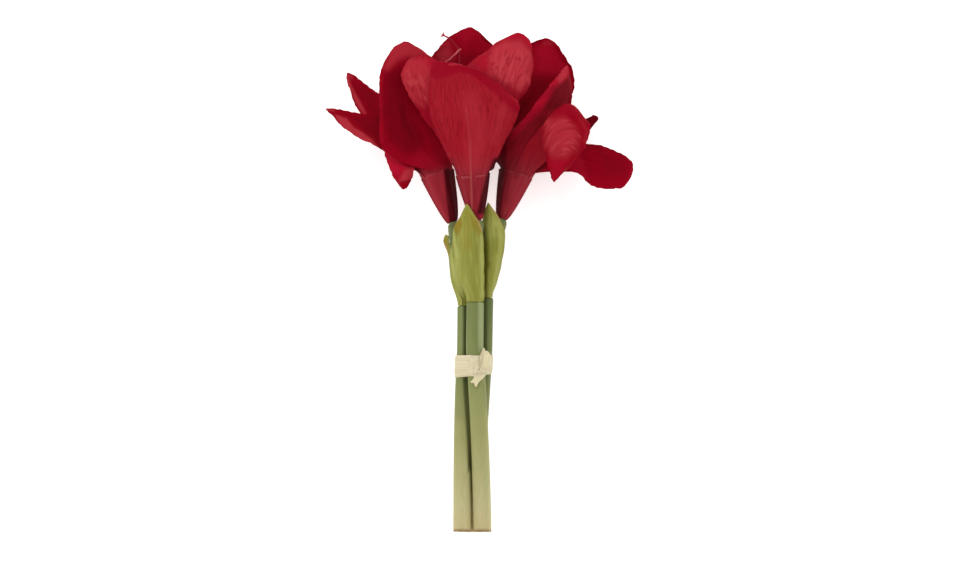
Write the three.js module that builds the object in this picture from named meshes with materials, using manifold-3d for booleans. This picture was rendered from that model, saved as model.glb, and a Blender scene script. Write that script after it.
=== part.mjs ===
// A hand-tied bunch of three cut amaryllis stems, one open bloom on each, lying on its back.
// Millimetres. The bunch is drawn upright in its own frame: +X to the right, +Y up the stems, +Z to the
// front. It is then laid down with its front up, and its box's bottom centre becomes the origin.

import * as THREE from "three";
import { mergeVertices } from "three/addons/utils/BufferGeometryUtils.js";
import Module from "manifold-3d";

const wasm = await Module();
wasm.setup();

// Driving dimensions
const SEATS = { front: 207, left: 203.5, right: 210.5 }; // from the cut end to the seat of the bracts
const STEM_RADIUS_CUT = 8.2;
const STEM_RADIUS_TOP = 7.8;
const CUT_BEVEL = 0.7; // worn edge of the cut ends
const STEM_TURN = 60; // degrees that the three stems twist round each other, from the cut ends up
const STEM_TURN_ENDS = 165; // height where that twist ends
const TWIST_EASE = 1.3; // above 1, the twist is slower near the cut ends
const SPREAD_ABOVE = 5; // how far the stems would stand apart a stem's length above the tie
const SPREAD_BELOW = 1.4; // the same below it
const LEAN_AT_CUT = -2.6; // where the middle of the bunch lies, to the right of x = 0
const LEAN_AT_TOP = 0.2;
const TIE_TOP = 159;
const TIE_BOTTOM = 140.6;
const TIE_SLANT = 0.1; // the lower edge of the tie rises to the right
const TIE_THICKNESS = 1;
const NECK_RADIUS = 5.8;
const NECK_LENGTH = 12;
const NECK_TAPER = 0.6;
const BRACT_RADIUS = 7.1;
const BRACT_FLARE = 0.9; // how much wider the bracts are at half the neck's length
const BRACT_THICKNESS = 0.9;
const PEDICEL_RADIUS = 3.6;
const OVARY_RADIUS = 4.4;
const TUBE_BASE_RADIUS = 4.2;
const THROAT_RADIUS = 15;
const TUBE_WALL = 1.4;
const TEPAL_THICKNESS = 0.9;
const FILAMENT_RADIUS = 0.8;
const ANTHER_LENGTH = 8;
const ANTHER_RADIUS = 1.3;
const LIE_TILT = THREE.MathUtils.degToRad(8.4); // slope of the stems, from the cut ends up to the blooms
const CLEARANCE = 0.3; // between pieces that rest on each other
const WELD = 1e-4; // points nearer than this are one point
const MERGE = 0.01; // how far joining two solids may move their surface

const { degToRad, smoothstep, clamp, lerp } = THREE.MathUtils;
const vector = (x, y, z) => new THREE.Vector3(x, y, z);
const FRONT = vector(0, 0, 1);
const UP_THE_STEM = vector(0, 1, 0);

// Closed shapes from points

function signedVolume(points, faces) {
  let sum = 0;
  for (let i = 0; i < faces.length; i += 3) {
    const [a, b, c] = [points[faces[i]], points[faces[i + 1]], points[faces[i + 2]]];
    sum += a.dot(vector().crossVectors(b, c));
  }
  return sum / 6;
}

function closedGeometry(points, faces) {
  if (signedVolume(points, faces) < 0) faces.reverse();
  const geometry = new THREE.BufferGeometry().setFromPoints(points);
  geometry.setIndex(faces);
  return geometry;
}

// A skin over rings of equal point counts, closed at both ends.
function loft(rings) {
  const sides = rings[0].length;
  const points = rings.flat();
  const faces = [];
  for (let i = 0; i + 1 < rings.length; i++) {
    for (let j = 0; j < sides; j++) {
      const next = (j + 1) % sides;
      const [a, b] = [i * sides + j, i * sides + next];
      faces.push(a, b, b + sides, a, b + sides, a + sides);
    }
  }
  const middle = (ring) => ring.reduce((sum, p) => sum.add(p), vector(0, 0, 0)).divideScalar(sides);
  const last = (rings.length - 1) * sides;
  points.push(middle(rings[0]), middle(rings.at(-1)));
  for (let j = 0; j < sides; j++) {
    const next = (j + 1) % sides;
    faces.push(points.length - 2, next, j);
    faces.push(points.length - 1, last + j, last + next);
  }
  return closedGeometry(points, faces);
}

function ringAround(centre, across, along, radius, sides) {
  return Array.from({ length: sides }, (_, i) => {
    const angle = (2 * Math.PI * i) / sides;
    const reach = typeof radius === "function" ? radius(angle) : radius;
    const p = centre.clone().addScaledVector(across, reach * Math.cos(angle));
    return p.addScaledVector(along, reach * Math.sin(angle));
  });
}

// A round strand along a curve, its radius given along its length from 0 to 1.
function strand(curve, radiusAt, sides, steps) {
  const rings = [];
  let across = vector(1, 0, 0);
  for (let i = 0; i <= steps; i++) {
    const t = i / steps;
    const tangent = curve.getTangent(t);
    across.addScaledVector(tangent, -across.dot(tangent)).normalize();
    const along = vector().crossVectors(tangent, across);
    rings.push(ringAround(curve.getPoint(t), across, along, radiusAt(t), sides));
  }
  return loft(rings);
}

// Joining solids

function toSolid(geometry) {
  const bare = new THREE.BufferGeometry().setAttribute("position", geometry.getAttribute("position"));
  bare.setIndex(geometry.index);
  const merged = mergeVertices(bare, WELD);
  const triVerts = new Uint32Array(merged.index.array);
  return new wasm.Manifold(
    new wasm.Mesh({ numProp: 3, vertProperties: merged.attributes.position.array, triVerts }),
  );
}

function toGeometry(solid) {
  const { vertProperties, triVerts } = solid.getMesh();
  const geometry = new THREE.BufferGeometry();
  geometry.setAttribute("position", new THREE.BufferAttribute(vertProperties, 3));
  geometry.setIndex(new THREE.BufferAttribute(triVerts, 1));
  return geometry;
}

function joined(geometries) {
  const solid = geometries.map(toSolid).reduce((sum, next) => sum.add(next));
  const bodies = solid.simplify(MERGE).decompose().sort((a, b) => b.volume() - a.volume());
  return toGeometry(bodies[0]);
}

// Stems: three scapes that touch at the tie and twist round each other. Above its seat each narrows to a
// neck that carries the bracts and the pedicel.

const CUT_AZIMUTHS = { front: 30, left: 150, right: 270 }; // degrees round the bunch at the cut ends
const STEM_SIDES = 16;
const TOP = 208; // height where the spread and the taper end
const LEVELS = [25, 50, 75, 100, 125, 140, 150, 160, 182];
const TIE_MIDDLE = (TIE_BOTTOM + TIE_TOP) / 2;

const stemRadius = (y) => lerp(STEM_RADIUS_CUT, STEM_RADIUS_TOP, y / TOP);

function bunchRadius(y) {
  const touching = (stemRadius(y) + CLEARANCE / 2) * (2 / Math.sqrt(3));
  const fromTie = (y - TIE_MIDDLE) / TOP;
  return touching + CLEARANCE / 3 + (fromTie > 0 ? SPREAD_ABOVE : SPREAD_BELOW) * fromTie ** 2;
}

function stemCentre(name, y) {
  const turned = STEM_TURN * clamp(y / STEM_TURN_ENDS, 0, 1) ** TWIST_EASE;
  const angle = degToRad(CUT_AZIMUTHS[name] + turned);
  const radius = bunchRadius(Math.min(y, TOP));
  const lean = lerp(LEAN_AT_CUT, LEAN_AT_TOP, clamp(y / TOP, 0, 1));
  return vector(lean + radius * Math.cos(angle), y, radius * Math.sin(angle));
}

const levelRing = (centre, radius) =>
  ringAround(centre, vector(1, 0, 0), vector(0, 0, -1), radius, STEM_SIDES);

function stemGeometry(name) {
  const seat = SEATS[name];
  const rings = [levelRing(stemCentre(name, 0), STEM_RADIUS_CUT - CUT_BEVEL)];
  for (const y of [CUT_BEVEL, ...LEVELS, seat]) {
    rings.push(levelRing(stemCentre(name, y), stemRadius(y)));
  }
  rings.push(levelRing(stemCentre(name, seat), NECK_RADIUS));
  rings.push(levelRing(stemCentre(name, seat + NECK_LENGTH), NECK_RADIUS - NECK_TAPER));
  return loft(rings);
}

// The surface that the laid bunch rests on, as it lies in the upright frame. The hidden right stem's cut
// end touches it, and tepals that reach it are bent flat along it.

const FLOOR_NORMAL = vector(0, Math.sin(LIE_TILT), Math.cos(LIE_TILT));
const lowestOf = (geometry) => {
  const at = geometry.getAttribute("position");
  const heights = Array.from({ length: at.count }, (_, i) =>
    vector().fromBufferAttribute(at, i).dot(FLOOR_NORMAL),
  );
  return Math.min(...heights);
};
const FLOOR = Math.min(...Object.keys(SEATS).map((name) => lowestOf(stemGeometry(name))));
const PRESS_FROM = 7; // height over the surface where a tepal starts to bend along it

function pressed(point) {
  const height = point.dot(FLOOR_NORMAL) - FLOOR - TEPAL_THICKNESS / 2;
  if (height > PRESS_FROM) return point;
  const bent = height < -PRESS_FROM ? 0 : (height + PRESS_FROM) ** 2 / (4 * PRESS_FROM);
  return point.addScaledVector(FLOOR_NORMAL, bent - height);
}

// Blades: the thin curved sheets that tepals and bracts are
//
// A blade is drawn through sections that follow each other from its base to its end. Each section has
// three places: one margin, the midrib and the other margin. A smooth curve joins the sections, and
// across each of them the sheet is a parabola.

function bladeGeometry(sections, { thickness, rows, columns }) {
  const rails = [0, 1, 2].map(
    (k) => new THREE.CatmullRomCurve3(sections.map((section) => section[k].clone()), false, "catmullrom"),
  );
  const middle = [];
  for (let i = 0; i <= rows; i++) {
    const [left, midrib, right] = rails.map((rail) => rail.getPoint(i / rows));
    const half = vector().subVectors(right, left).multiplyScalar(0.5);
    const bow = vector().addVectors(left, right).multiplyScalar(0.5).sub(midrib);
    const row = [];
    for (let j = 0; j <= columns; j++) {
      const v = (2 * j) / columns - 1;
      row.push(pressed(midrib.clone().addScaledVector(half, v).addScaledVector(bow, v * v)));
    }
    middle.push(row);
  }
  const at = (i, j) => middle[clamp(i, 0, rows)][clamp(j, 0, columns)];
  const outer = [];
  const inner = [];
  for (let i = 0; i <= rows; i++) {
    for (let j = 0; j <= columns; j++) {
      const along = vector().subVectors(at(i + 1, j), at(i - 1, j));
      const across = vector().subVectors(at(i, j + 1), at(i, j - 1));
      const out = vector().crossVectors(across, along).normalize();
      outer.push(at(i, j).clone().addScaledVector(out, thickness / 2));
      inner.push(at(i, j).clone().addScaledVector(out, -thickness / 2));
    }
  }
  const faces = [];
  const width = columns + 1;
  const back = outer.length;
  for (let i = 0; i < rows; i++) {
    for (let j = 0; j < columns; j++) {
      const a = i * width + j;
      const [b, c, d] = [a + 1, a + 1 + width, a + width];
      faces.push(a, b, c, a, c, d);
      faces.push(back + a, back + c, back + b, back + a, back + d, back + c);
    }
  }
  const rim = [];
  for (let j = 0; j < columns; j++) rim.push(j);
  for (let i = 0; i < rows; i++) rim.push(i * width + columns);
  for (let j = columns; j > 0; j--) rim.push(rows * width + j);
  for (let i = rows; i > 0; i--) rim.push(i * width);
  rim.forEach((a, i) => {
    const b = rim[(i + 1) % rim.length];
    faces.push(a, back + b, b, a, back + a, back + b);
  });
  return closedGeometry([...outer, ...inner], faces);
}

// Blooms: each has a ribbed tube that opens into a throat, where six tepals spring
//
// `at` is the tepal's azimuth on the throat in degrees, from the front and turning to the right, and
// `hold` is half the angle that it takes there. A tepal that is seen has sections beyond the throat, each
// from the margin with the lower azimuth to the other one. A tepal behind the others has `spine`: places
// on its midrib, each followed by half its width and by how far its margins bow inward.

const BLOOMS = {
  centre: {
    base: [1.8, 281, 14],
    throat: [-2, 322, 18],
    tepals: [
      { at: 0, outer: true, hold: 58, sections: [
        [[-27.5, 344, 21], [-3.2, 344, 40], [23.4, 344, 21]],
        [[-40.5, 377, 26], [-3.4, 381, 48], [39.6, 379, 26]],
        [[-40.5, 407, 31], [-8, 404, 50], [32, 393, 31]],
        [[-36.9, 426, 38], [-16, 421, 45], [5.5, 415, 43]],
      ] },
      { at: 60, sections: [
        [[2, 344, 33], [12, 344, 26], [19, 344, 13]],
        [[-2, 375, 34], [18, 375, 27], [33, 377, 13]],
        [[-16, 408, 32], [24, 408, 25], [50, 405, 9]],
        [[14.4, 436, 18], [34, 438, 17], [51.5, 435, 6]],
        [[29, 445, 12], [37, 448.6, 12], [43, 446.4, 9]],
      ] },
      { at: 120, outer: true, spine: [
        [14, 344, 8, 12, 3], [24, 378, -6, 20, 6], [31, 412, -22, 16, 4], [36, 432, -36, 2, 0],
      ] },
      { at: 180, sections: [
        [[8, 344, 5], [-2, 344, 2], [-12, 344, 5]],
        [[20, 380, 2], [-1, 382, -7], [-22, 380, 2]],
        [[27, 411, -7], [-2.7, 414, -18], [-40, 419, -15]],
        [[18, 435, -14], [-4.5, 437, -22], [-33, 436, -18]],
        [[7, 448, -20], [-4.5, 454.8, -24], [-15, 449.2, -21]],
      ] },
      { at: 240, outer: true, spine: [
        [-18, 344, 8, 12, 3], [-26, 378, -6, 18, 6], [-31, 412, -22, 15, 4], [-35, 432, -36, 2, 0],
      ] },
      { at: 300, sections: [
        [[-25, 344, 13], [-17, 344, 26], [-8, 344, 33]],
        [[-48, 375, 13], [-34, 378, 22], [-18, 378, 33]],
        [[-65.7, 407, 14], [-44, 407, 26], [-22, 407, 32]],
        [[-60.3, 427.5, 12], [-46, 430, 19], [-35, 426, 24]],
      ] },
    ],
  },
  left: {
    base: [-20.2, 279, -12],
    throat: [-34, 323, -17],
    tepals: [
      { at: 30, outer: true, hold: 44, sections: [
        [[-64.8, 332, 6], [-45, 340, 0], [-20.7, 340, -6]],
        [[-84.6, 348, 10], [-57, 366, 2], [-31, 368, -4]],
        [[-85.5, 380, 10], [-62, 390, 1], [-38, 392, -4]],
        [[-85.5, 412, 6], [-64, 418, 0], [-38, 412, -6]],
        [[-75.6, 435, -2], [-62, 441.5, -4], [-40, 431, -6]],
      ] },
      { at: 90, spine: [
        [-26, 344, -28, 11, 2], [-33, 376, -42, 18, 5], [-38, 408, -56, 16, 4], [-42, 430, -66, 2, 0],
      ] },
      { at: 150, outer: true, spine: [
        [-42, 344, -38, 12, 2], [-54, 374, -62, 19, 5], [-66, 400, -80, 17, 4], [-74, 420, -90, 3, 0],
      ] },
      { at: 210, sections: [
        [[-47, 350, -34], [-57, 343, -32], [-66, 336, -26]],
        [[-64, 382, -46], [-78, 372, -44], [-92, 360, -34]],
        [[-91, 398, -58], [-100, 391, -56], [-107, 383, -48]],
        [[-113, 414, -62], [-115, 412.5, -62], [-116, 410.5, -60]],
      ] },
      { at: 270, outer: true, sections: [
        [[-54, 348, -22], [-58, 338, -18], [-60, 329, -10]],
        [[-83, 372, -30], [-82, 357, -24], [-83, 344, -12]],
        [[-111, 378.5, -34], [-110, 369, -30], [-113, 360, -20]],
        [[-133, 382, -34], [-134.5, 380.5, -34], [-133, 379, -32]],
      ] },
      { at: 330, sections: [
        [[-64, 335, -12], [-53, 342, -8], [-42, 338, -4]],
        [[-81, 346, -8], [-68, 352, -2], [-55, 345, 1]],
        [[-77, 327, -2], [-67, 328, 3], [-55, 325, 1]],
        [[-67, 311, 0], [-64.4, 309, 1], [-61, 312, 0]],
      ] },
    ],
  },
  right: {
    base: [24.3, 282, -12],
    throat: [37, 323, -16],
    tepals: [
      { at: 330, outer: true, hold: 44, sections: [
        [[24, 342, -2], [40.5, 344, 4], [58.5, 346, -5]],
        [[43, 371, 8], [61, 371, 2], [78, 372, -6]],
        [[64.8, 399, 12], [75, 396, 3], [87, 396, -8]],
        [[80, 417, 8], [83, 420, 4], [86, 414, 0]],
      ] },
      { at: 30, sections: [
        [[46, 348, 6], [63, 352, 8], [78, 348, 2]],
        [[69, 375, 18], [83.7, 385, 18], [95.4, 373, 13]],
        [[61, 364, 27], [82, 362, 34], [103.5, 361, 24]],
        [[63, 340, 26], [79, 337, 33], [94, 339, 26]],
        [[68.4, 320, 25], [71, 315, 26], [76, 320, 25]],
      ] },
      { at: 90, outer: true, sections: [
        [[62, 324, -8], [63, 333, -14], [62, 343, -22]],
        [[92, 323, 0], [90, 336, -8], [88, 350, -18]],
        [[106, 311, 2], [113, 329, -6], [117, 347, -14]],
        [[130, 309, 0], [137, 322, -6], [139, 336, -12]],
        [[137, 314, -3], [141, 321, -6], [142.5, 329, -9]],
      ] },
      { at: 150, sections: [
        [[60, 330, -26], [60, 340, -32], [56, 350, -34]],
        [[88, 340, -36], [84, 354, -46], [76, 366, -48]],
        [[103, 361, -52], [101, 367, -56], [97, 371, -57]],
        [[110, 374, -60], [110.5, 376, -61], [109, 377, -61]],
      ] },
      { at: 210, outer: true, spine: [
        [44, 344, -38, 12, 2], [56, 370, -62, 20, 5], [71, 394, -80, 18, 4], [82, 414, -90, 3, 0],
      ] },
      { at: 270, sections: [
        [[49.5, 345, -31], [38.7, 346, -31], [29.7, 344, -24]],
        [[76.5, 381, -40], [54, 380, -42], [33, 375, -31]],
        [[90, 402, -40], [61, 407, -46], [34, 405, -34]],
        [[84, 425, -38], [64, 434, -44], [42, 434, -36]],
        [[74, 437.5, -38], [65, 444.6, -40], [55, 440, -37]],
      ] },
    ],
  },
};

const TUBE_SIDES = 18;
const TUBE_LEVELS = [0, 0.12, 0.3, 0.6, 1]; // from the foot to the throat
const RIB = 0.05; // depth of the tube's six ribs, as a share of its radius
const tubeRadius = (s) => lerp(TUBE_BASE_RADIUS, THROAT_RADIUS, s ** 0.7);
const ribbed = (radius) => (angle) => radius * (1 - RIB * Math.cos(6 * angle));

function bloomFrame({ base, throat }) {
  const foot = vector(...base);
  const top = vector(...throat);
  const axis = vector().subVectors(top, foot).normalize();
  const front = FRONT.clone().addScaledVector(axis, -FRONT.dot(axis)).normalize();
  const right = vector().crossVectors(axis, front);
  const length = foot.distanceTo(top);
  const centre = (s) => foot.clone().addScaledVector(axis, length * s);
  const outward = (degrees) => {
    const angle = degToRad(degrees);
    return front.clone().multiplyScalar(Math.cos(angle)).addScaledVector(right, Math.sin(angle));
  };
  return { foot, axis, front, right, length, centre, outward };
}

function tubeGeometry(frame) {
  const ring = (s, radius) =>
    ringAround(frame.centre(s), frame.front, frame.right, ribbed(radius), TUBE_SIDES);
  const outside = TUBE_LEVELS.map((s) => ring(s, tubeRadius(s)));
  const inside = TUBE_LEVELS.slice(1).reverse().map((s) => ring(s, tubeRadius(s) - TUBE_WALL));
  return loft([...outside, ...inside]);
}

const TEPAL_COLUMNS = 6;
const ROOTED = [0.6, 1]; // where a tepal grows out of the tube's wall, from the foot to the throat
const LAYER = { outer: 0.15, inner: -0.35 }; // how far each whorl stands out from the wall's middle

function tepalSections(frame, { at, outer = false, hold = 34, sections, spine }) {
  const wall = (s, side) => {
    const layer = outer ? LAYER.outer : LAYER.inner;
    const radius = tubeRadius(s) - TUBE_WALL / 2 + layer;
    return frame.centre(s).addScaledVector(frame.outward(at + side * hold), radius);
  };
  const rooted = ROOTED.map((s) => [-1, 0, 1].map((side) => wall(s, side)));
  if (sections) return [...rooted, ...sections.map((section) => section.map((p) => vector(...p)))];
  const across = frame.outward(at + 90);
  const inward = frame.outward(at + 180);
  const margins = spine.map(([x, y, z, half, bow]) =>
    [-1, 0, 1].map((side) =>
      vector(x, y, z).addScaledVector(across, side * half).addScaledVector(inward, Math.abs(side) * bow),
    ),
  );
  return [...rooted, ...margins];
}

function tepalGeometry(frame, tepal) {
  const sections = tepalSections(frame, tepal);
  const rows = 2 * sections.length - 2;
  return bladeGeometry(sections, { thickness: TEPAL_THICKNESS, rows, columns: TEPAL_COLUMNS });
}

function bloomGeometry(name) {
  const frame = bloomFrame(BLOOMS[name]);
  return joined([tubeGeometry(frame), ...BLOOMS[name].tepals.map((tepal) => tepalGeometry(frame, tepal))]);
}

// Tie: a band round the three stems, with a knot at the front right and two tails

const TIE_SIDES = 27;
const KNOT = { size: [4.6, 8.6, 2.6], turn: -0.16, swing: 0.45, at: [6.6, 150.5, 16] };
const TAIL_UP = [
  [[3.4, 154, 17.6], [8, 153, 15.6], [12.6, 154, 11]],
  [[4.2, 158.5, 17.4], [8.6, 160, 15.4], [13, 159, 11.2]],
  [[6.4, 162.5, 17], [9, 163, 15.6], [11, 162.4, 13.6]],
  [[7.4, 165.2, 16.6], [8, 165.7, 16.3], [8.6, 165, 16]],
];
const TAIL_DOWN = [
  [[-1.5, 145, 17.6], [4, 145, 17.4], [9, 145, 13.4]],
  [[-1, 139.5, 18.6], [3.6, 140, 18.4], [8.6, 140.6, 15.2]],
  [[-3.8, 135, 18.8], [0.4, 135, 19.2], [4.4, 136, 18.4]],
  [[0, 131.2, 18.9], [0.9, 130.8, 19], [1.8, 131.6, 18.9]],
];

// A ring round all three stems at one height, pulled tight like a string round three rods.
function bandRing(y, offset) {
  const centres = Object.keys(SEATS).map((name) => stemCentre(name, y));
  return Array.from({ length: TIE_SIDES }, (_, i) => {
    const angle = (-2 * Math.PI * i) / TIE_SIDES;
    const normal = vector(Math.cos(angle), 0, Math.sin(angle));
    const farthest = centres.reduce((best, c) => (c.dot(normal) > best.dot(normal) ? c : best));
    return farthest.clone().addScaledVector(normal, stemRadius(y) + offset);
  });
}

function tieGeometry() {
  const outer = CLEARANCE + TIE_THICKNESS;
  const slanted = bandRing(TIE_BOTTOM, outer).map((p) => p.setY(p.y + TIE_SLANT * p.x));
  const wrapped = loft([slanted, bandRing(TIE_MIDDLE, outer + 0.2), bandRing(TIE_TOP, outer)]);
  const inTie = (y) => y >= 125; // levels of the stems that the band and its tails pass
  const stems = loft(LEVELS.filter(inTie).map((y) => bandRing(y, CLEARANCE)));
  const knot = new THREE.SphereGeometry(1, 8, 6);
  knot.scale(...KNOT.size);
  knot.rotateZ(KNOT.turn);
  knot.rotateY(KNOT.swing);
  knot.translate(...KNOT.at);
  const tails = [TAIL_UP, TAIL_DOWN].map((rows) =>
    bladeGeometry(rows.map((row) => row.map((p) => vector(...p))), {
      thickness: TIE_THICKNESS,
      rows: 5,
      columns: 3,
    }),
  );
  const tied = toSolid(joined([wrapped, knot, ...tails]));
  return toGeometry(tied.subtract(toSolid(stems)).simplify(MERGE));
}

// Bracts: the two valves of the spathe on each neck
//
// `at` is the valve's azimuth on the neck, from the front and turning to the right. Its sections follow
// from the seat up, each from the margin with the lower azimuth to the other one.

const BRACT_HOLD = 82; // half the angle that a valve takes on its neck
const BRACT_COLUMNS = 6;
const BRACTS = {
  front: [
    { at: 0, sections: [
      [[-11.6, 227, 12], [-2.7, 227, 20.5], [8.1, 227, 13.5]],
      [[-16.2, 253, 12], [-4, 254, 24], [7.6, 254, 15]],
      [[-17.5, 272, 14], [-4.8, 275, 24], [5.9, 273, 19.5]],
      [[-12.6, 285, 20], [-6.8, 288, 24.5], [-1.4, 287, 24]],
      [[-8, 294.6, 24], [-7.4, 295.2, 24.2], [-6.6, 294.6, 24.2]],
    ] },
    { at: 180, sections: [
      [[8, 228, 9.5], [0.5, 228, 3.2], [-7.5, 228, 9.5]],
      [[8, 254, 9], [1, 254, 4.5], [-6, 254, 9]],
      [[6.4, 267, 8.6], [1.3, 267, 5.4], [-3.6, 267, 8.6]],
      [[2.5, 275, 6.6], [1.5, 276, 6], [0.5, 275, 6.6]],
    ] },
  ],
  left: [
    { at: 60, sections: [
      [[-17, 227, 3], [-8, 227, 4], [-3, 227, -7]],
      [[-21.4, 248, -1], [-14.6, 250, 2.4], [-6.6, 248, -5]],
      [[-20.2, 262.5, -3], [-18, 263.5, -1], [-15.6, 262.5, -3]],
      [[-19.6, 269.4, -3], [-19.2, 270, -2.6], [-18.6, 269.4, -3]],
    ] },
    { at: 250, sections: [
      [[-11, 227, -15.5], [-20.8, 227, -9], [-18, 227, 0]],
      [[-18, 249, -19.5], [-25.6, 249, -12], [-20.5, 249, -4]],
      [[-24, 260, -18], [-28, 261, -13], [-23, 259, -8]],
      [[-26, 266, -16], [-26.8, 267.3, -13.5], [-25.4, 267, -11]],
    ] },
  ],
  right: [
    { at: 20, sections: [
      [[5.6, 228, 0], [14, 228, 4], [20.7, 228, -5]],
      [[6, 254, 0], [16.5, 254, 6], [26, 254, -4]],
      [[6, 275, 1], [15.5, 276, 7], [24, 274, 0]],
      [[8.4, 288, 4], [14.5, 288.5, 6.5], [19, 286.5, 3]],
      [[11.2, 295.5, 5], [11.8, 296.3, 5], [12.8, 295.4, 4.8]],
    ] },
    { at: 200, sections: [
      [[18.5, 228, -12], [9, 228, -15.5], [3.6, 228, -5]],
      [[24, 254, -15], [13, 254, -19], [8, 254, -7]],
      [[25, 270, -18], [17, 271, -22], [11.5, 270, -13]],
      [[18.5, 284, -21], [17.5, 285.5, -21.5], [16, 284, -20.5]],
    ] },
  ],
};

function bractGeometry(name, { at, sections }) {
  const seat = SEATS[name] + 4 * CLEARANCE / 3;
  const onNeck = (height, side) => {
    const angle = degToRad(at + side * BRACT_HOLD);
    const radius = BRACT_RADIUS + (height > 0 ? BRACT_FLARE : 0);
    const centre = stemCentre(name, seat + height);
    return centre.add(vector(radius * Math.sin(angle), 0, radius * Math.cos(angle)));
  };
  const rooted = [0, NECK_LENGTH / 2].map((height) => [-1, 0, 1].map((side) => onNeck(height, side)));
  const free = sections.map((section) => section.map((p) => vector(...p)));
  const rows = 2 * (rooted.length + free.length - 1);
  const net = [...rooted, ...free];
  return bladeGeometry(net, { thickness: BRACT_THICKNESS, rows, columns: BRACT_COLUMNS });
}

// Pedicels, each with the ovary under its bloom

const LEAVES_NECK = 16; // reach of the pedicel's curve at its neck
const MEETS_TUBE = 20; // and at its tube
const TUBE_TAPER = 0.6; // how much it narrows to the tube

function pedicelGeometry(name, bloom) {
  const { foot, axis } = bloomFrame(bloom);
  const neckTop = stemCentre(name, SEATS[name] + NECK_LENGTH);
  const start = neckTop.clone().addScaledVector(UP_THE_STEM, CLEARANCE);
  const end = foot.clone().addScaledVector(axis, -CLEARANCE);
  const curve = new THREE.CubicBezierCurve3(
    start,
    start.clone().addScaledVector(UP_THE_STEM, LEAVES_NECK),
    end.clone().addScaledVector(axis, -MEETS_TUBE),
    end,
  );
  const swelling = (t) => lerp(PEDICEL_RADIUS, OVARY_RADIUS, smoothstep(t, 0.6, 0.85));
  return strand(curve, (t) => swelling(t) - TUBE_TAPER * smoothstep(t, 0.92, 1), 10, 8);
}

// Stamens: six filaments with anthers and a style, on a small disc inside the tube's foot
//
// `tips` are where they end, and `lean` is a place that they all pass.

const DISC_RADIUS = 4.8;
const DISC_LEVELS = [0.14, 0.2]; // from the tube's foot to its throat
const FOOT_RING = 3.2; // radius of the ring that the filaments stand on
const THROAT_RING = 4.4; // and of the one that they pass through the throat in

const STAMENS = {
  centre: {
    tips: [
      [-16, 434, 6], [-29, 447.5, 2], [2, 406, 16], [10, 414, 8],
      [23, 420, -1], [12, 396, 16], [-8, 400, 24],
    ],
    lean: [-6, 376, 14],
  },
  left: {
    tips: [
      [-58, 398, -22], [-66, 394, -26], [-52, 392, -28], [-60, 384, -16],
      [-70, 384, -24], [-56, 380, -34], [-62, 402, -30],
    ],
    lean: [-48, 360, -22],
  },
  right: {
    tips: [
      [66, 378, -18], [72, 382, -14], [63, 366, -20], [70, 368, -10],
      [77, 374, -22], [66, 366, -28], [78, 384, -18],
    ],
    lean: [50, 358, -16],
  },
};

function stamensGeometry(name) {
  const { centre, front, right, axis } = bloomFrame(BLOOMS[name]);
  const disc = loft(DISC_LEVELS.map((s) => ringAround(centre(s), front, right, DISC_RADIUS, 10)));
  const pieces = [disc];
  const tips = STAMENS[name].tips.map((tip) => vector(...tip));
  const middleOfTips = tips.reduce((sum, tip) => sum.addScaledVector(tip, 1 / tips.length), vector(0, 0, 0));
  const azimuth = (tip) => {
    const aside = tip.clone().sub(middleOfTips);
    return Math.atan2(aside.dot(right), aside.dot(front));
  };
  tips.sort((a, b) => azimuth(a) - azimuth(b));
  tips.forEach((end, i) => {
    const angle = azimuth(tips[0]) + (2 * Math.PI * i) / tips.length;
    const aside = front.clone().multiplyScalar(Math.cos(angle)).addScaledVector(right, Math.sin(angle));
    const middle = vector(...STAMENS[name].lean).lerp(end, 0.2).addScaledVector(aside, 4);
    const curve = new THREE.CatmullRomCurve3(
      [
        centre(0.16).addScaledVector(aside, FOOT_RING),
        centre(1).addScaledVector(aside, THROAT_RING),
        middle,
        end.clone().addScaledVector(axis, -3),
        end,
      ],
      false,
      "catmullrom",
    );
    pieces.push(strand(curve, () => FILAMENT_RADIUS, 4, 8));
    const across = aside.clone().multiplyScalar(ANTHER_LENGTH / 2);
    const anther = new THREE.LineCurve3(end.clone().sub(across), end.clone().add(across));
    const plump = (t) => Math.max(0.4, ANTHER_RADIUS * Math.sqrt(Math.max(0, 1 - (2 * t - 1) ** 2)));
    pieces.push(strand(anther, plump, 5, 4));
  });
  return joined(pieces);
}

// Materials

const finish = (color, roughness) => new THREE.MeshStandardMaterial({ color, roughness, metalness: 0 });
const FINISHES = {
  petal: finish(0xa01c2a, 0.7),
  scape: finish(0x9a9c64, 0.6),
  bract: finish(0x929142, 0.6),
  raffia: finish(0xddceab, 0.8),
  stamen: finish(0xc86a70, 0.6),
};

const bunch = new THREE.Group();
function add(name, geometry, material) {
  const mesh = new THREE.Mesh(geometry, material);
  mesh.name = name;
  bunch.add(mesh);
}

const BLOOM_OF = { front: "centre", left: "left", right: "right" };
for (const name of Object.keys(SEATS)) {
  const bloom = BLOOM_OF[name];
  add(`stem_${name}`, stemGeometry(name), FINISHES.scape);
  add(`bract_${name}_outer`, bractGeometry(name, BRACTS[name][0]), FINISHES.bract);
  add(`bract_${name}_inner`, bractGeometry(name, BRACTS[name][1]), FINISHES.bract);
  add(`pedicel_${name}`, pedicelGeometry(name, BLOOMS[bloom]), FINISHES.scape);
  add(`bloom_${bloom}`, bloomGeometry(bloom), FINISHES.petal);
  add(`stamens_${bloom}`, stamensGeometry(bloom), FINISHES.stamen);
}
add("raffia_tie", tieGeometry(), FINISHES.raffia);

// Laying the bunch down

bunch.rotation.x = LIE_TILT;
const part = new THREE.Group();
part.add(bunch);
part.updateMatrixWorld(true);
const box = new THREE.Box3().setFromObject(part, true);
bunch.position.set(-(box.min.x + box.max.x) / 2, -(box.min.y + box.max.y) / 2, -box.min.z);

export default part;
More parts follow.
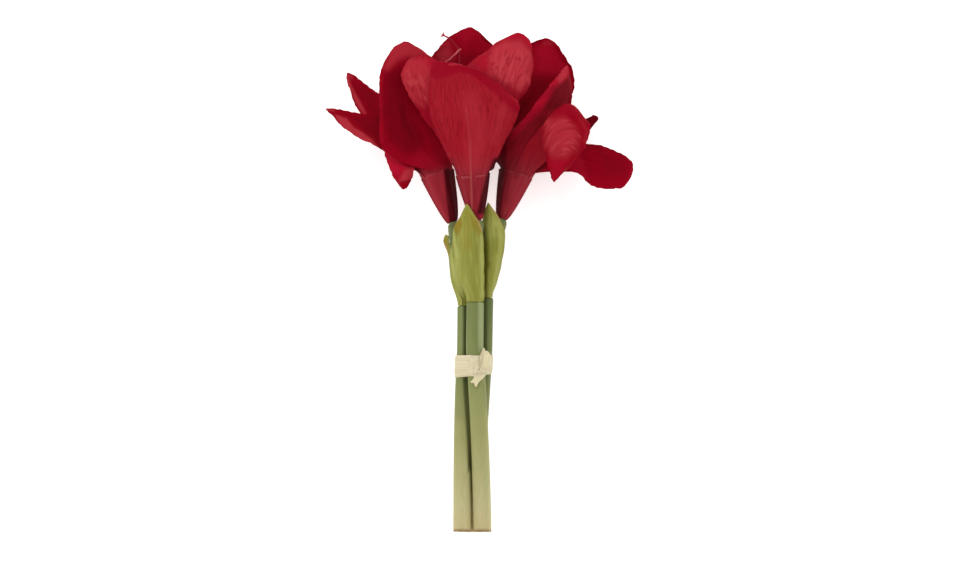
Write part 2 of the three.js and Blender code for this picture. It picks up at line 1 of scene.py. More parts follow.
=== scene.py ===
# %% [markdown]
# A tied bunch of amaryllis
#
# Three thick flower stalks are bound with a strip of raffia. Each carries a papery sheath of two bracts and
# one wide trumpet bloom of six tepals. The bunch lies on its back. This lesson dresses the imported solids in
# finer surfaces that keep their form: veined petals with thin waved margins, ribbed stems, ribbed fibre.
#
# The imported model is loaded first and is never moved. All else is measured from it.

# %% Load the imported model
import math

import bpy
import numpy as np
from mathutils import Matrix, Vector


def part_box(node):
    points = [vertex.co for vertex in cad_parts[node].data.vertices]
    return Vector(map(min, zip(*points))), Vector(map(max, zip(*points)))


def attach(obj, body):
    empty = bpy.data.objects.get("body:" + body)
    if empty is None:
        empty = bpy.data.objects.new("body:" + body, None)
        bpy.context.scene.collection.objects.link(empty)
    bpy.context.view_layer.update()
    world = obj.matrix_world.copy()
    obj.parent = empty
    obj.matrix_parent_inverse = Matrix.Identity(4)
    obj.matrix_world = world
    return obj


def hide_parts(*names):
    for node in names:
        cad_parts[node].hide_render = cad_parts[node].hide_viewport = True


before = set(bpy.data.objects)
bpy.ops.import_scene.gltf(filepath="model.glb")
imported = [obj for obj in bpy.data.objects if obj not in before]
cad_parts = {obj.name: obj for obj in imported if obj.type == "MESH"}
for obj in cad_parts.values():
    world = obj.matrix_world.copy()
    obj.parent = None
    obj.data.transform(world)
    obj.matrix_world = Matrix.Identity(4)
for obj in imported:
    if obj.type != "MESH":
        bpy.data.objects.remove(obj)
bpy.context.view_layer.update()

# %% [markdown]
# Two frames are used here. The bunch is easiest to describe as it stands: X to the right, Y up the stems,
# Z to the front, in millimetres. The part itself lies on its back with its stems sloping up a little, in
# metres. `laid` takes places from the first frame to the second, and `stood` takes them back. The slope is
# a driving size, and the shift comes from the front stem: its outline is worked out here as in the solids
# and then compared with that node's box.

# %% From the standing bunch to the lying one
MM = 0.001
LIE_TILT = math.radians(8.4)
CLEARANCE = 0.3

SEATS = {"front": 207, "left": 203.5, "right": 210.5}
CUT_AZIMUTHS = {"front": 30, "left": 150, "right": 270}
STEM_RADIUS_CUT, STEM_RADIUS_TOP, STEM_TOP = 8.2, 7.8, 208
CUT_BEVEL = 0.7
STEM_TURN, STEM_TURN_ENDS, TWIST_EASE = 60, 165, 1.3
SPREAD_ABOVE, SPREAD_BELOW = 5, 1.4
LEAN_AT_CUT, LEAN_AT_TOP = -2.6, 0.2
TIE_TOP, TIE_BOTTOM = 159, 140.6
TIE_MIDDLE = (TIE_TOP + TIE_BOTTOM) / 2
SOLID_LEVELS, SOLID_SIDES = [25, 50, 75, 100, 125, 140, 150, 160, 182], 16  # of the solid stems


def lerp(a, b, t):
    return a + (b - a) * t


def ease(t, start=0.0, end=1.0):
    t = np.clip((np.asarray(t, float) - start) / (end - start), 0, 1)
    return t * t * (3 - 2 * t)


def stem_radius(y):
    return lerp(STEM_RADIUS_CUT, STEM_RADIUS_TOP, y / STEM_TOP)


def bunch_radius(y):
    touching = (stem_radius(y) + CLEARANCE / 2) * 2 / math.sqrt(3)
    from_tie = (y - TIE_MIDDLE) / STEM_TOP
    return touching + CLEARANCE / 3 + (SPREAD_ABOVE if from_tie > 0 else SPREAD_BELOW) * from_tie**2


def stem_centre(name, y):
    turned = STEM_TURN * np.clip(y / STEM_TURN_ENDS, 0, 1) ** TWIST_EASE
    angle = math.radians(CUT_AZIMUTHS[name] + turned)
    radius = bunch_radius(min(y, STEM_TOP))
    lean = lerp(LEAN_AT_CUT, LEAN_AT_TOP, np.clip(y / STEM_TOP, 0, 1))
    return np.array([lean + radius * math.cos(angle), y, radius * math.sin(angle)])


def turned(points, tilt):
    x, y, z = np.moveaxis(np.asarray(points, float), -1, 0)
    cos, sin = math.cos(tilt), math.sin(tilt)
    return np.stack([x, y * cos - z * sin, y * sin + z * cos], axis=-1)


def all_round(sides):
    return 2 * math.pi * np.arange(sides) / sides


def level_ring(centre, radius):
    angle = all_round(SOLID_SIDES)
    return centre + radius * np.stack([np.cos(angle), np.zeros(SOLID_SIDES), -np.sin(angle)], axis=-1)


outline = [level_ring(stem_centre("front", 0), STEM_RADIUS_CUT - CUT_BEVEL)]
for level in [CUT_BEVEL, *SOLID_LEVELS, SEATS["front"]]:
    outline.append(level_ring(stem_centre("front", level), stem_radius(level)))
BUNCH_AT = np.array(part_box("stem_front")[0]) - turned(np.concatenate(outline), LIE_TILT).min(axis=0) * MM


def laid(points):
    return turned(points, LIE_TILT) * MM + BUNCH_AT


def stood(places):
    """Places in the lying frame, taken back to the standing one."""
    return turned((np.asarray(places, float) - BUNCH_AT) / MM, -LIE_TILT)


print("the standing bunch's origin lies at", [round(float(v), 5) for v in BUNCH_AT])

# %% [markdown]
# The camera looks straight down on the lying bunch, square to the stems, as in the photograph. A long lens
# from far away keeps near and far petals at one scale. One photograph pixel is 0.9 mm of the bunch.

# %% Camera
PHOTO_WIDTH_PX, PHOTO_HEIGHT_PX = 960, 587
MM_PER_PX = 0.9
MIDDLE_PX = (475, 532)  # the pixel where the standing bunch's X and Y are zero
CAMERA_DISTANCE = 14.4
SENSOR_WIDTH = 36.0
FAR_CLIP = 80
MIDDLE_DEPTH = 8.0  # Z of the plane that keeps this scale exactly

aimed_at = [
    (PHOTO_WIDTH_PX / 2 - MIDDLE_PX[0]) * MM_PER_PX,
    (MIDDLE_PX[1] - PHOTO_HEIGHT_PX / 2) * MM_PER_PX,
    MIDDLE_DEPTH,
]
scene = bpy.context.scene
camera = bpy.data.objects.new("camera", bpy.data.cameras.new("camera"))
camera.data.sensor_width = SENSOR_WIDTH
camera.data.lens = SENSOR_WIDTH * CAMERA_DISTANCE / (PHOTO_WIDTH_PX * MM_PER_PX * MM)
camera.data.clip_end = FAR_CLIP
looking = Vector((0, -math.sin(LIE_TILT), math.cos(LIE_TILT)))
camera.location = Vector(laid(aimed_at)) + looking * CAMERA_DISTANCE
camera.rotation_euler = (LIE_TILT, 0, 0)
scene.collection.objects.link(camera)
scene.camera = camera
print("lens", round(camera.data.lens), "mm")

# %% [markdown]
# The light is a plain bright studio: a white surround, strongest overhead and along the horizon, and large
# soft panels on both sides and beyond the blooms that model the petals.

# %% Light
WHITE = (1, 1, 1, 1)
SURROUND = ((0.0, 1.0), (0.14, 1.0), (0.3, 0.3), (0.66, 0.34), (0.82, 0.85), (1.0, 1.0))  # height, level
PANEL_SIZE = 0.8
PANELS = {  # place in metres and power in watts
    "panel_left": ((-1.2, 0.2, 1.0), 6.0),
    "panel_right": ((1.2, 0.1, 1.0), 5.0),
    "panel_front": ((-0.2, 1.0, 1.3), 5.0),
}


def colour_ramp(tree, value, stops):
    """A ramp of colours through stops, each (place, colour)."""
    ramp = tree.nodes.new("ShaderNodeValToRGB")
    tree.links.new(value, ramp.inputs[0])
    elements = ramp.color_ramp.elements
    elements.remove(elements[0])
    elements[0].position, elements[0].color = stops[0]
    for place, colour in stops[1:]:
        elements.new(place).color = colour
    return ramp.outputs[0]


scene.view_settings.view_transform = "Standard"
world = bpy.data.worlds.new("studio")
world.use_nodes = True
nodes, links = world.node_tree.nodes, world.node_tree.links
direction = nodes.new("ShaderNodeSeparateXYZ")
links.new(nodes.new("ShaderNodeTexCoord").outputs["Generated"], direction.inputs[0])
greys = [(share, (level, level, level, 1)) for share, level in SURROUND]
sky = colour_ramp(world.node_tree, direction.outputs["Z"], greys)
links.new(sky, nodes["Background"].inputs["Color"])
scene.world = world
for name, (place, power) in PANELS.items():
    lamp = bpy.data.lights.new(name, "AREA")
    lamp.size = PANEL_SIZE
    lamp.energy = power
    panel = bpy.data.objects.new(name, lamp)
    panel.location = place
    panel.rotation_euler = (-Vector(place)).to_track_quat("-Z", "Y").to_euler()
    scene.collection.objects.link(panel)
print("panels:", len(PANELS))

# %% [markdown]
# Every surface here is a closed mesh with named numbers stored on its points, such as how far along a petal
# a point lies. The finishes read those numbers, so a vein or a pale rib follows its petal wherever it
# bends. `mesh_piece` joins parts into one mesh, and turns a part over if its faces point inward.

# %% Meshes from points
SMOOTH_BELOW = math.radians(42)


def grid_faces(rows, columns, closed):
    """Quads between rows of points; a closed row joins its last point to its first."""
    i, j = np.meshgrid(np.arange(rows - 1), np.arange(columns if closed else columns - 1), indexing="ij")
    k = (j + 1) % columns
    corners = [i * columns + j, i * columns + k, (i + 1) * columns + k, (i + 1) * columns + j]
    return np.stack([c.ravel() for c in corners], axis=-1)


def capped(points, faces, sides):
    """Closes both ends of a lofted tube with a fan round a middle point; a corner is given twice there."""
    count = len(points)
    middles = np.stack([points[:sides].mean(axis=0), points[-sides:].mean(axis=0)])
    j = np.arange(sides)
    k = (j + 1) % sides
    low = np.stack([k, j, j * 0 + count, j * 0 + count], axis=-1)
    high = np.stack([j, k, j * 0 + count + 1, j * 0 + count + 1], axis=-1) + [[count - sides] * 2 + [0] * 2]
    return np.concatenate([points, middles]), np.concatenate([faces, low, high])


def outward_faces(points, faces):
    a, b, c, d = (points[faces[:, k]] for k in range(4))
    volume = np.einsum("ij,ij->i", a, np.cross(b, c)) + np.einsum("ij,ij->i", a, np.cross(c, d))
    return faces if volume.sum() > 0 else faces[:, ::-1]


def store(mesh, trait, values):
    mesh.attributes.new(trait, "FLOAT", "POINT").data.foreach_set("value", values.astype(np.float32))


def smoothed(mesh):
    mesh.polygons.foreach_set("use_smooth", [True] * len(mesh.polygons))
    mesh.set_sharp_from_angle(angle=SMOOTH_BELOW)


def mesh_piece(name, parts, material):
    """Joins parts, each (points, faces, traits), into one object. Points are already laid."""
    points = np.concatenate([p for p, _, _ in parts])
    starts = np.cumsum([0] + [len(p) for p, _, _ in parts[:-1]])
    faces = np.concatenate([outward_faces(p, f) + s for (p, f, _), s in zip(parts, starts)])
    corners = [[v for k, v in enumerate(f) if v != f[k - 1]] for f in faces.tolist()]
    mesh = bpy.data.meshes.new(name)
    mesh.from_pydata(points.tolist(), [], corners)
    for trait in sorted({key for _, _, traits in parts for key in traits}):
        values = [np.broadcast_to(traits.get(trait, 0.0), len(p)) for p, _, traits in parts]
        store(mesh, trait, np.concatenate(values))
    smoothed(mesh)
    mesh.materials.append(material)
    piece = bpy.data.objects.new(name, mesh)
    scene.collection.objects.link(piece)
    return piece


def stands_for(piece, slot, *nodes):
    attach(piece, "root")
    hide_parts(*nodes)
    triangles = sum(len(p.vertices) - 2 for p in piece.data.polygons)
    print(piece.name, "stands for", nodes, "with", triangles, "triangles")


# %% [markdown]
# A finish is a small tree of nodes that ends in one shader. These helpers keep each tree short: `add_node`
# adds a node and joins its inputs, and colours are given as they look on a screen, from 0 to 255.

# %% Helpers for finishes
STRAIGHT_UP_TO = 10  # screen values up to this one are on the straight foot of the sRGB curve


def linear(value):
    share = value / 255
    return share / 12.92 if value <= STRAIGHT_UP_TO else ((share + 0.055) / 1.055) ** 2.4


def screen(*red_green_blue):
    return (*(linear(value) for value in red_green_blue), 1)


def add_node(tree, kind, inputs, output=0, **settings):
    """A node with its settings and its inputs, which are values or other nodes' outputs."""
    made = tree.nodes.new(kind)
    for key, value in settings.items():
        setattr(made, key, value)
    for key, value in inputs.items():
        if isinstance(value, bpy.types.NodeSocket):
            tree.links.new(value, made.inputs[key])
        else:
            made.inputs[key].default_value = value
    return made.outputs[output]


class Finish:
    """One material and the few kinds of node that its tree is made of."""

    def __init__(self, name, roughness, **sockets):
        self.material = bpy.data.materials.new(name)
        self.material.use_nodes = True
        self.tree = self.material.node_tree
        self.shader = self.tree.nodes["Principled BSDF"]
        self.shader.inputs["Roughness"].default_value = roughness
        for socket, value in sockets.items():
            self.shader.inputs[socket.replace("_", " ")].default_value = value

    def node(self, kind, inputs, output=0, **settings):
        return add_node(self.tree, kind, inputs, output, **settings)

    def trait(self, name):
        return self.node("ShaderNodeAttribute", {}, 2, attribute_name=name)

    def place(self):
        return self.node("ShaderNodeTexCoord", {}, 3)

    def times(self, value, factor, clamp=False):
        return self.node("ShaderNodeMath", {0: value, 1: factor}, operation="MULTIPLY", use_clamp=clamp)

    def plus(self, value, other):
        return self.node("ShaderNodeMath", {0: value, 1: other}, operation="ADD")

    def span(self, value, low, high, to_low=0.0, to_high=1.0):
        inputs = {0: value, 1: low, 2: high, 3: to_low, 4: to_high}
        return self.node("ShaderNodeMapRange", inputs, interpolation_type="SMOOTHSTEP")

    def together(self, x, y, z=0.0):
        return self.node("ShaderNodeCombineXYZ", {0: x, 1: y, 2: z})

    def noise(self, where, scale, detail=3.0, roughness=0.5, distortion=0.0):
        inputs = {"Vector": where, "Scale": scale, "Detail": detail, "Roughness": roughness}
        return self.node("ShaderNodeTexNoise", {**inputs, "Distortion": distortion})

    def mix(self, factor, a, b):
        return self.node("ShaderNodeMix", {0: factor, 6: a, 7: b}, 2, data_type="RGBA")

    def each(self, colours, value):
        """The value with every tone laid over it where the trait of that name is full."""
        for name, colour in colours.items():
            value = self.mix(self.trait(name), value, colour)
        return value

    def colour(self, value):
        self.tree.links.new(value, self.shader.inputs["Base Color"])

    def bump(self, height, strength, distance):
        inputs = {"Height": height, "Strength": strength, "Distance": distance}
        self.tree.links.new(self.node("ShaderNodeBump", inputs), self.shader.inputs["Normal"])


# %% [markdown]
# A petal has two faces. The inner one is a deep velvety red. The outer one is paler and drier, with fine
# veins along it and, where it is broadest, a pressed crackle like wrinkled silk. A pale rib climbs the
# middle of a front petal and fades out, and near the tube all of them turn to a browner pink.
#
# The petal's own numbers drive this. `inner` is 1 on the inner face, `across` runs from one margin to the
# other, and `reach` is the distance from the throat in decimetres. `own` differs from petal to petal.
# `crease_x` and `crease_y` place the crackle. `tube` and `seam` say where those tints are full. The tones
# laid on further down are a brighter red and a paler pink as painted light, a deeper red that is the petal's
# own in places and painted shade in others, a near-black red as painted shade in hollows, a pale rib, and the
# crackle's place.

# %% Petal finish
INNER_RED, INNER_DARK = screen(152, 2, 26), screen(134, 0, 20)
OUTER_RED, OUTER_DARK, DASH_DARK = screen(162, 27, 41), screen(148, 19, 33), screen(130, 12, 28)
# Tones laid on by stroke: the brighter red and the paler pink are painted light where light catches the
# petals; the deeper red is painted shade, and also the petal's own colour in random clouds.
TONES = {"fresh": screen(172, 16, 42), "deep": screen(144, 6, 29), "lit": screen(186, 52, 64)}
# Near-black red: painted shade in the hollows, on the tubes' shaded sides and between petals.
PAINTED_SHADE_RED = screen(52, 2, 8)
RIB_PINK = screen(170, 80, 78)
TUBE_PINK, TUBE_DARK = screen(148, 40, 50), screen(126, 30, 40)
SEAM_PINK = screen(178, 92, 92)
CREASE_LIGHT, CREASE_DARK = screen(206, 82, 84), screen(136, 14, 30)
VEINS_ACROSS, VEINS_ALONG = 20.0, 2.4  # how fine each pattern is
DASHES_ACROSS, DASHES_ALONG = 26.0, 9.0
CLOUDS, CREASES = 1.6, 23.0

petal = Finish("petal", 0.5, Specular_IOR_Level=0.02)
across, reach, own = petal.trait("across"), petal.trait("reach"), petal.trait("own")
along_veins = petal.together(petal.times(across, VEINS_ACROSS), petal.times(reach, VEINS_ALONG), own)
veins = petal.noise(along_veins, 1.0, 4.0, 0.65, 0.5)
along_dashes = petal.together(petal.times(across, DASHES_ACROSS), petal.times(reach, DASHES_ALONG), own)
dashes = petal.noise(along_dashes, 1.0)
clouds = petal.noise(petal.together(across, petal.times(reach, CLOUDS), own), CLOUDS, 2.0)
over_creases = petal.together(petal.trait("crease_x"), petal.trait("crease_y"), own)
crease = petal.noise(over_creases, CREASES, 1.5, 0.4, 1.6)
outside = petal.mix(petal.span(veins, 0.34, 0.62), OUTER_DARK, OUTER_RED)
outside = petal.mix(petal.span(dashes, 0.53, 0.64, 0.0, 0.8), outside, DASH_DARK)
inside = petal.mix(petal.span(veins, 0.3, 0.7), INNER_DARK, INNER_RED)
skin = petal.mix(petal.trait("inner"), outside, inside)
skin = petal.mix(petal.span(clouds, 0.35, 0.7, 0.0, 0.3), skin, TONES["deep"])
tube = petal.mix(petal.span(veins, 0.35, 0.65), TUBE_DARK, TUBE_PINK)
skin = petal.mix(petal.trait("tube"), skin, tube)
# Painted light and painted shade laid over the petal's own colours.
skin = petal.each(TONES, skin)
crackled = petal.trait("crackle")
raised = petal.times(petal.span(crease, 0.5, 0.64), crackled)
pressed_in = petal.times(petal.span(crease, 0.44, 0.32), crackled)
skin = petal.mix(petal.times(raised, 0.22), skin, CREASE_LIGHT)
skin = petal.mix(petal.times(pressed_in, 0.5), skin, CREASE_DARK)
# Last come the pale rib, the pale seam and the near-black painted shade of the hollows.
petal.colour(petal.each({"rib": RIB_PINK, "seam": SEAM_PINK, "dark": PAINTED_SHADE_RED}, skin))
creases = petal.times(petal.times(crease, crackled), 3.0)
petal.bump(petal.plus(petal.times(veins, 0.5), creases), 0.6, 0.0006)
print("petal finish:", len(petal.tree.nodes), "nodes")

# %% [markdown]
# Each petal is drawn through sections much like its solid's, some a little wider or narrower: one margin,
# the midrib and the other margin, from the tube's wall out to the tip. A smooth curve joins the sections
# and a parabola crosses them. The finer sheet then gets what the solid leaves out: margins that thin out
# and wave, a raised rib, and rounded corners at the tip. Mesh code fits better than a simulation here,
# because each petal has one shape that the photograph shows.

# %% Smooth sheets through sections
TEPAL_ROWS, TEPAL_COLUMNS = 72, 56
CROWDING = 0.35  # how far the columns crowd toward the margins
TIP_CURVE, TIP_LEFT = 2.4, 0.1  # how square a rounded tip is, and the share of its width left at its end
SHEET_FACES_FRONT = (-0.2, 0.1)  # how squarely a surface faces the front where tones begin and are full
TUBE_FACES_FRONT = (-0.3, 0.1)
PIECE_FACES_FRONT = (-0.1, 0.2)


def through(places, t):
    """Points at shares t of a uniform Catmull-Rom curve through places."""
    places = np.asarray(places, float)
    last = len(places) - 1
    padded = np.concatenate([[2 * places[0] - places[1]], places, [2 * places[-1] - places[-2]]])
    at = np.clip(t, 0, 1) * last
    i = np.minimum(at.astype(int), last - 1)
    w = (at - i)[:, None]
    a, b, c, d = (padded[i + k] for k in range(4))
    start, end = (c - a) / 2, (d - b) / 2
    return b + start * w + (3 * (c - b) - 2 * start - end) * w**2 + (2 * (b - c) + start + end) * w**3


def sheet(net, rows, columns, round_tip=0.0, crowded=True):
    """A grid of points over the net, with u along it and v across it."""
    net = np.asarray(net, float)
    u = np.linspace(0, 1, rows)
    v = np.linspace(-1, 1, columns)
    if crowded:
        v = np.sin(v * math.pi / 2) * CROWDING + v * (1 - CROWDING)
    left, middle, right = (through(net[:, k], u) for k in range(3))
    tip = np.clip((u - (1 - round_tip)) / max(round_tip, 1e-6), 0, 1)
    narrow = np.maximum((1 - tip**TIP_CURVE) ** (1 / TIP_CURVE), TIP_LEFT)
    shares = narrow[:, None] * v[None, :]
    half, bow = (right - left) / 2, (left + right) / 2 - middle
    points = middle[:, None] + half[:, None] * shares[..., None] + bow[:, None] * shares[..., None] ** 2
    return points, u, v


def at_margins(u, v, start, low, high):
    """Full along both margins; none within `start` of the midrib, nor below `low` of the length."""
    return ease(np.abs(v), start, 1)[None, :] * ease(u, low, high)[:, None]


def sheet_normals(points):
    along = np.gradient(points, axis=0)
    sideways = np.gradient(points, axis=1)
    out = np.cross(sideways, along)
    return out / np.maximum(np.linalg.norm(out, axis=-1, keepdims=True), 1e-9)


def thickened(points, thickness, traits, tones=None):
    """A closed part from a sheet: the outer face, the inner face and the rim between them."""
    rows, columns = points.shape[:2]
    normals = sheet_normals(points)
    out = normals * (thickness / 2)[..., None]
    both = np.concatenate([(points + out).reshape(-1, 3), (points - out).reshape(-1, 3)])
    face = grid_faces(rows, columns, False)
    back = rows * columns
    n = np.arange(rows * columns).reshape(rows, columns)
    rim = np.concatenate([n[0, :-1], n[:-1, -1], n[-1, :0:-1], n[:0:-1, 0]])
    ahead = np.roll(rim, -1)
    edge = np.stack([rim, rim + back, ahead + back, ahead], axis=-1)
    faces = np.concatenate([face, face[:, ::-1] + back, edge])
    shape = (rows, columns)
    doubled = {key: np.tile(np.broadcast_to(value, shape).ravel(), 2) for key, value in traits.items()}
    doubled["inner"] = np.repeat([0.0, 1.0], back)
    front = ease(normals[..., 2].ravel(), *SHEET_FACES_FRONT)
    for key, value in (tones or {}).items():
        doubled[key] = np.tile(value.ravel(), 2) * np.concatenate([front, 1 - front])
    return laid(both), faces, doubled


def span_of(points, axis):
    step = np.linalg.norm(np.diff(points, axis=axis), axis=-1)
    start = np.zeros_like(np.take(step, [0], axis=axis))
    return np.concatenate([start, np.cumsum(step, axis=axis)], axis=axis)


# %% [markdown]
# Soft patches of tone lie on the side of each piece that faces the camera: painted shade in a hollow, painted
# light along an edge, a crackled place. Each is an outline or a line drawn over the photograph, in its
# pixels, with a soft border.
# They are stored on the mesh, so they stay on the petal in every view.

# %% Laying on tones


def area(kind, amount, soft, *path):
    """A patch of a tone: how full it is, how wide its border is and its outline, in pixels."""
    return kind, amount, soft, 0.0, True, path


def line(kind, amount, width, soft, *path):
    """A line of a tone: how full it is, its width, its border's width and its places, in pixels."""
    return kind, amount, soft, width / 2, False, path


def distance_to(places, path):
    best = np.full(places.shape[:-1], np.inf)
    for a, b in zip(path[:-1], path[1:]):
        share = np.clip(((places - a) @ (b - a)) / max((b - a) @ (b - a), 1e-9), 0, 1)
        best = np.minimum(best, np.linalg.norm(places - a - share[..., None] * (b - a), axis=-1))
    return best


def is_inside(places, path):
    x, y = places[..., 0], places[..., 1]
    odd = np.zeros(x.shape, bool)
    for (x0, y0), (x1, y1) in zip(path[:-1], path[1:]):
        odd ^= ((y0 > y) != (y1 > y)) & (x < x0 + (x1 - x0) * (y - y0) / (y1 - y0 or 1))
    return odd


def tones_on(points, strokes):
    places = points[..., :2] / (MM_PER_PX, -MM_PER_PX) + MIDDLE_PX
    tones = {}
    for kind, amount, soft, half, closed, path in strokes:
        path = np.array(path + path[:1] if closed else path, float)
        away = distance_to(places, path) - half
        if closed:
            away = np.where(is_inside(places, path), -away, away)
        weight = amount * (1 - ease(away, -soft / 2, soft / 2))
        tones[kind] = np.maximum(tones.get(kind, 0.0), weight)
    return tones


# %% [markdown]
# A bloom's tube runs from its foot to its throat and widens on the way, with six soft grooves. The tepals
# grow out of its wall in two whorls of three, much as in the solids.

# %% The frame of a bloom
TUBE_BASE_RADIUS, THROAT_RADIUS, TUBE_WALL = 4.2, 15, 1.4
TUBE_FLARE = 0.7  # below 1, a tube widens fastest near its foot
GROOVE = 0.05  # depth of the six grooves, as a share of the radius
ROOTED = (0.6, 1)
ROOT_SINK = 1.1  # how much deeper in the wall a root starts, so that the tube alone shows there
LAYER = {"outer": 0.15, "inner": -0.35}
TEPAL_THICKNESS, MARGIN_THICKNESS = 0.9, 0.35
SIDES = (-1, 0, 1)  # left margin, midrib, right margin


class Bloom:
    def __init__(self, base, throat):
        self.foot, top = np.array(base, float), np.array(throat, float)
        self.length = np.linalg.norm(top - self.foot)
        self.axis = (top - self.foot) / self.length
        to_front = np.array([0.0, 0.0, 1.0])
        to_front -= self.axis * to_front.dot(self.axis)
        self.front = to_front / np.linalg.norm(to_front)
        self.right = np.cross(self.axis, self.front)

    def centre(self, s):
        return self.foot + self.axis * self.length * s

    def outward(self, degrees):
        angle = math.radians(degrees)
        return self.front * math.cos(angle) + self.right * math.sin(angle)

    def radius(self, s):
        return lerp(TUBE_BASE_RADIUS, THROAT_RADIUS, s**TUBE_FLARE)

    def on_wall(self, s, degrees, layer):
        return self.centre(s) + self.outward(degrees) * (self.radius(s) - TUBE_WALL / 2 + layer)


def tepal_net(bloom, at, whorl="inner", hold=34, sections=None, spine=None, **looks):
    layers = (LAYER[whorl] - ROOT_SINK, LAYER[whorl])
    rooted = [[bloom.on_wall(s, at + side * hold, layer) for side in SIDES]
              for s, layer in zip(ROOTED, layers)]
    if spine:
        aside, inward = bloom.outward(at + 90), bloom.outward(at + 180)
        sections = [[np.array([x, y, z]) + aside * side * half + inward * abs(side) * bow for side in SIDES]
                    for x, y, z, half, bow in spine]
    return rooted + sections
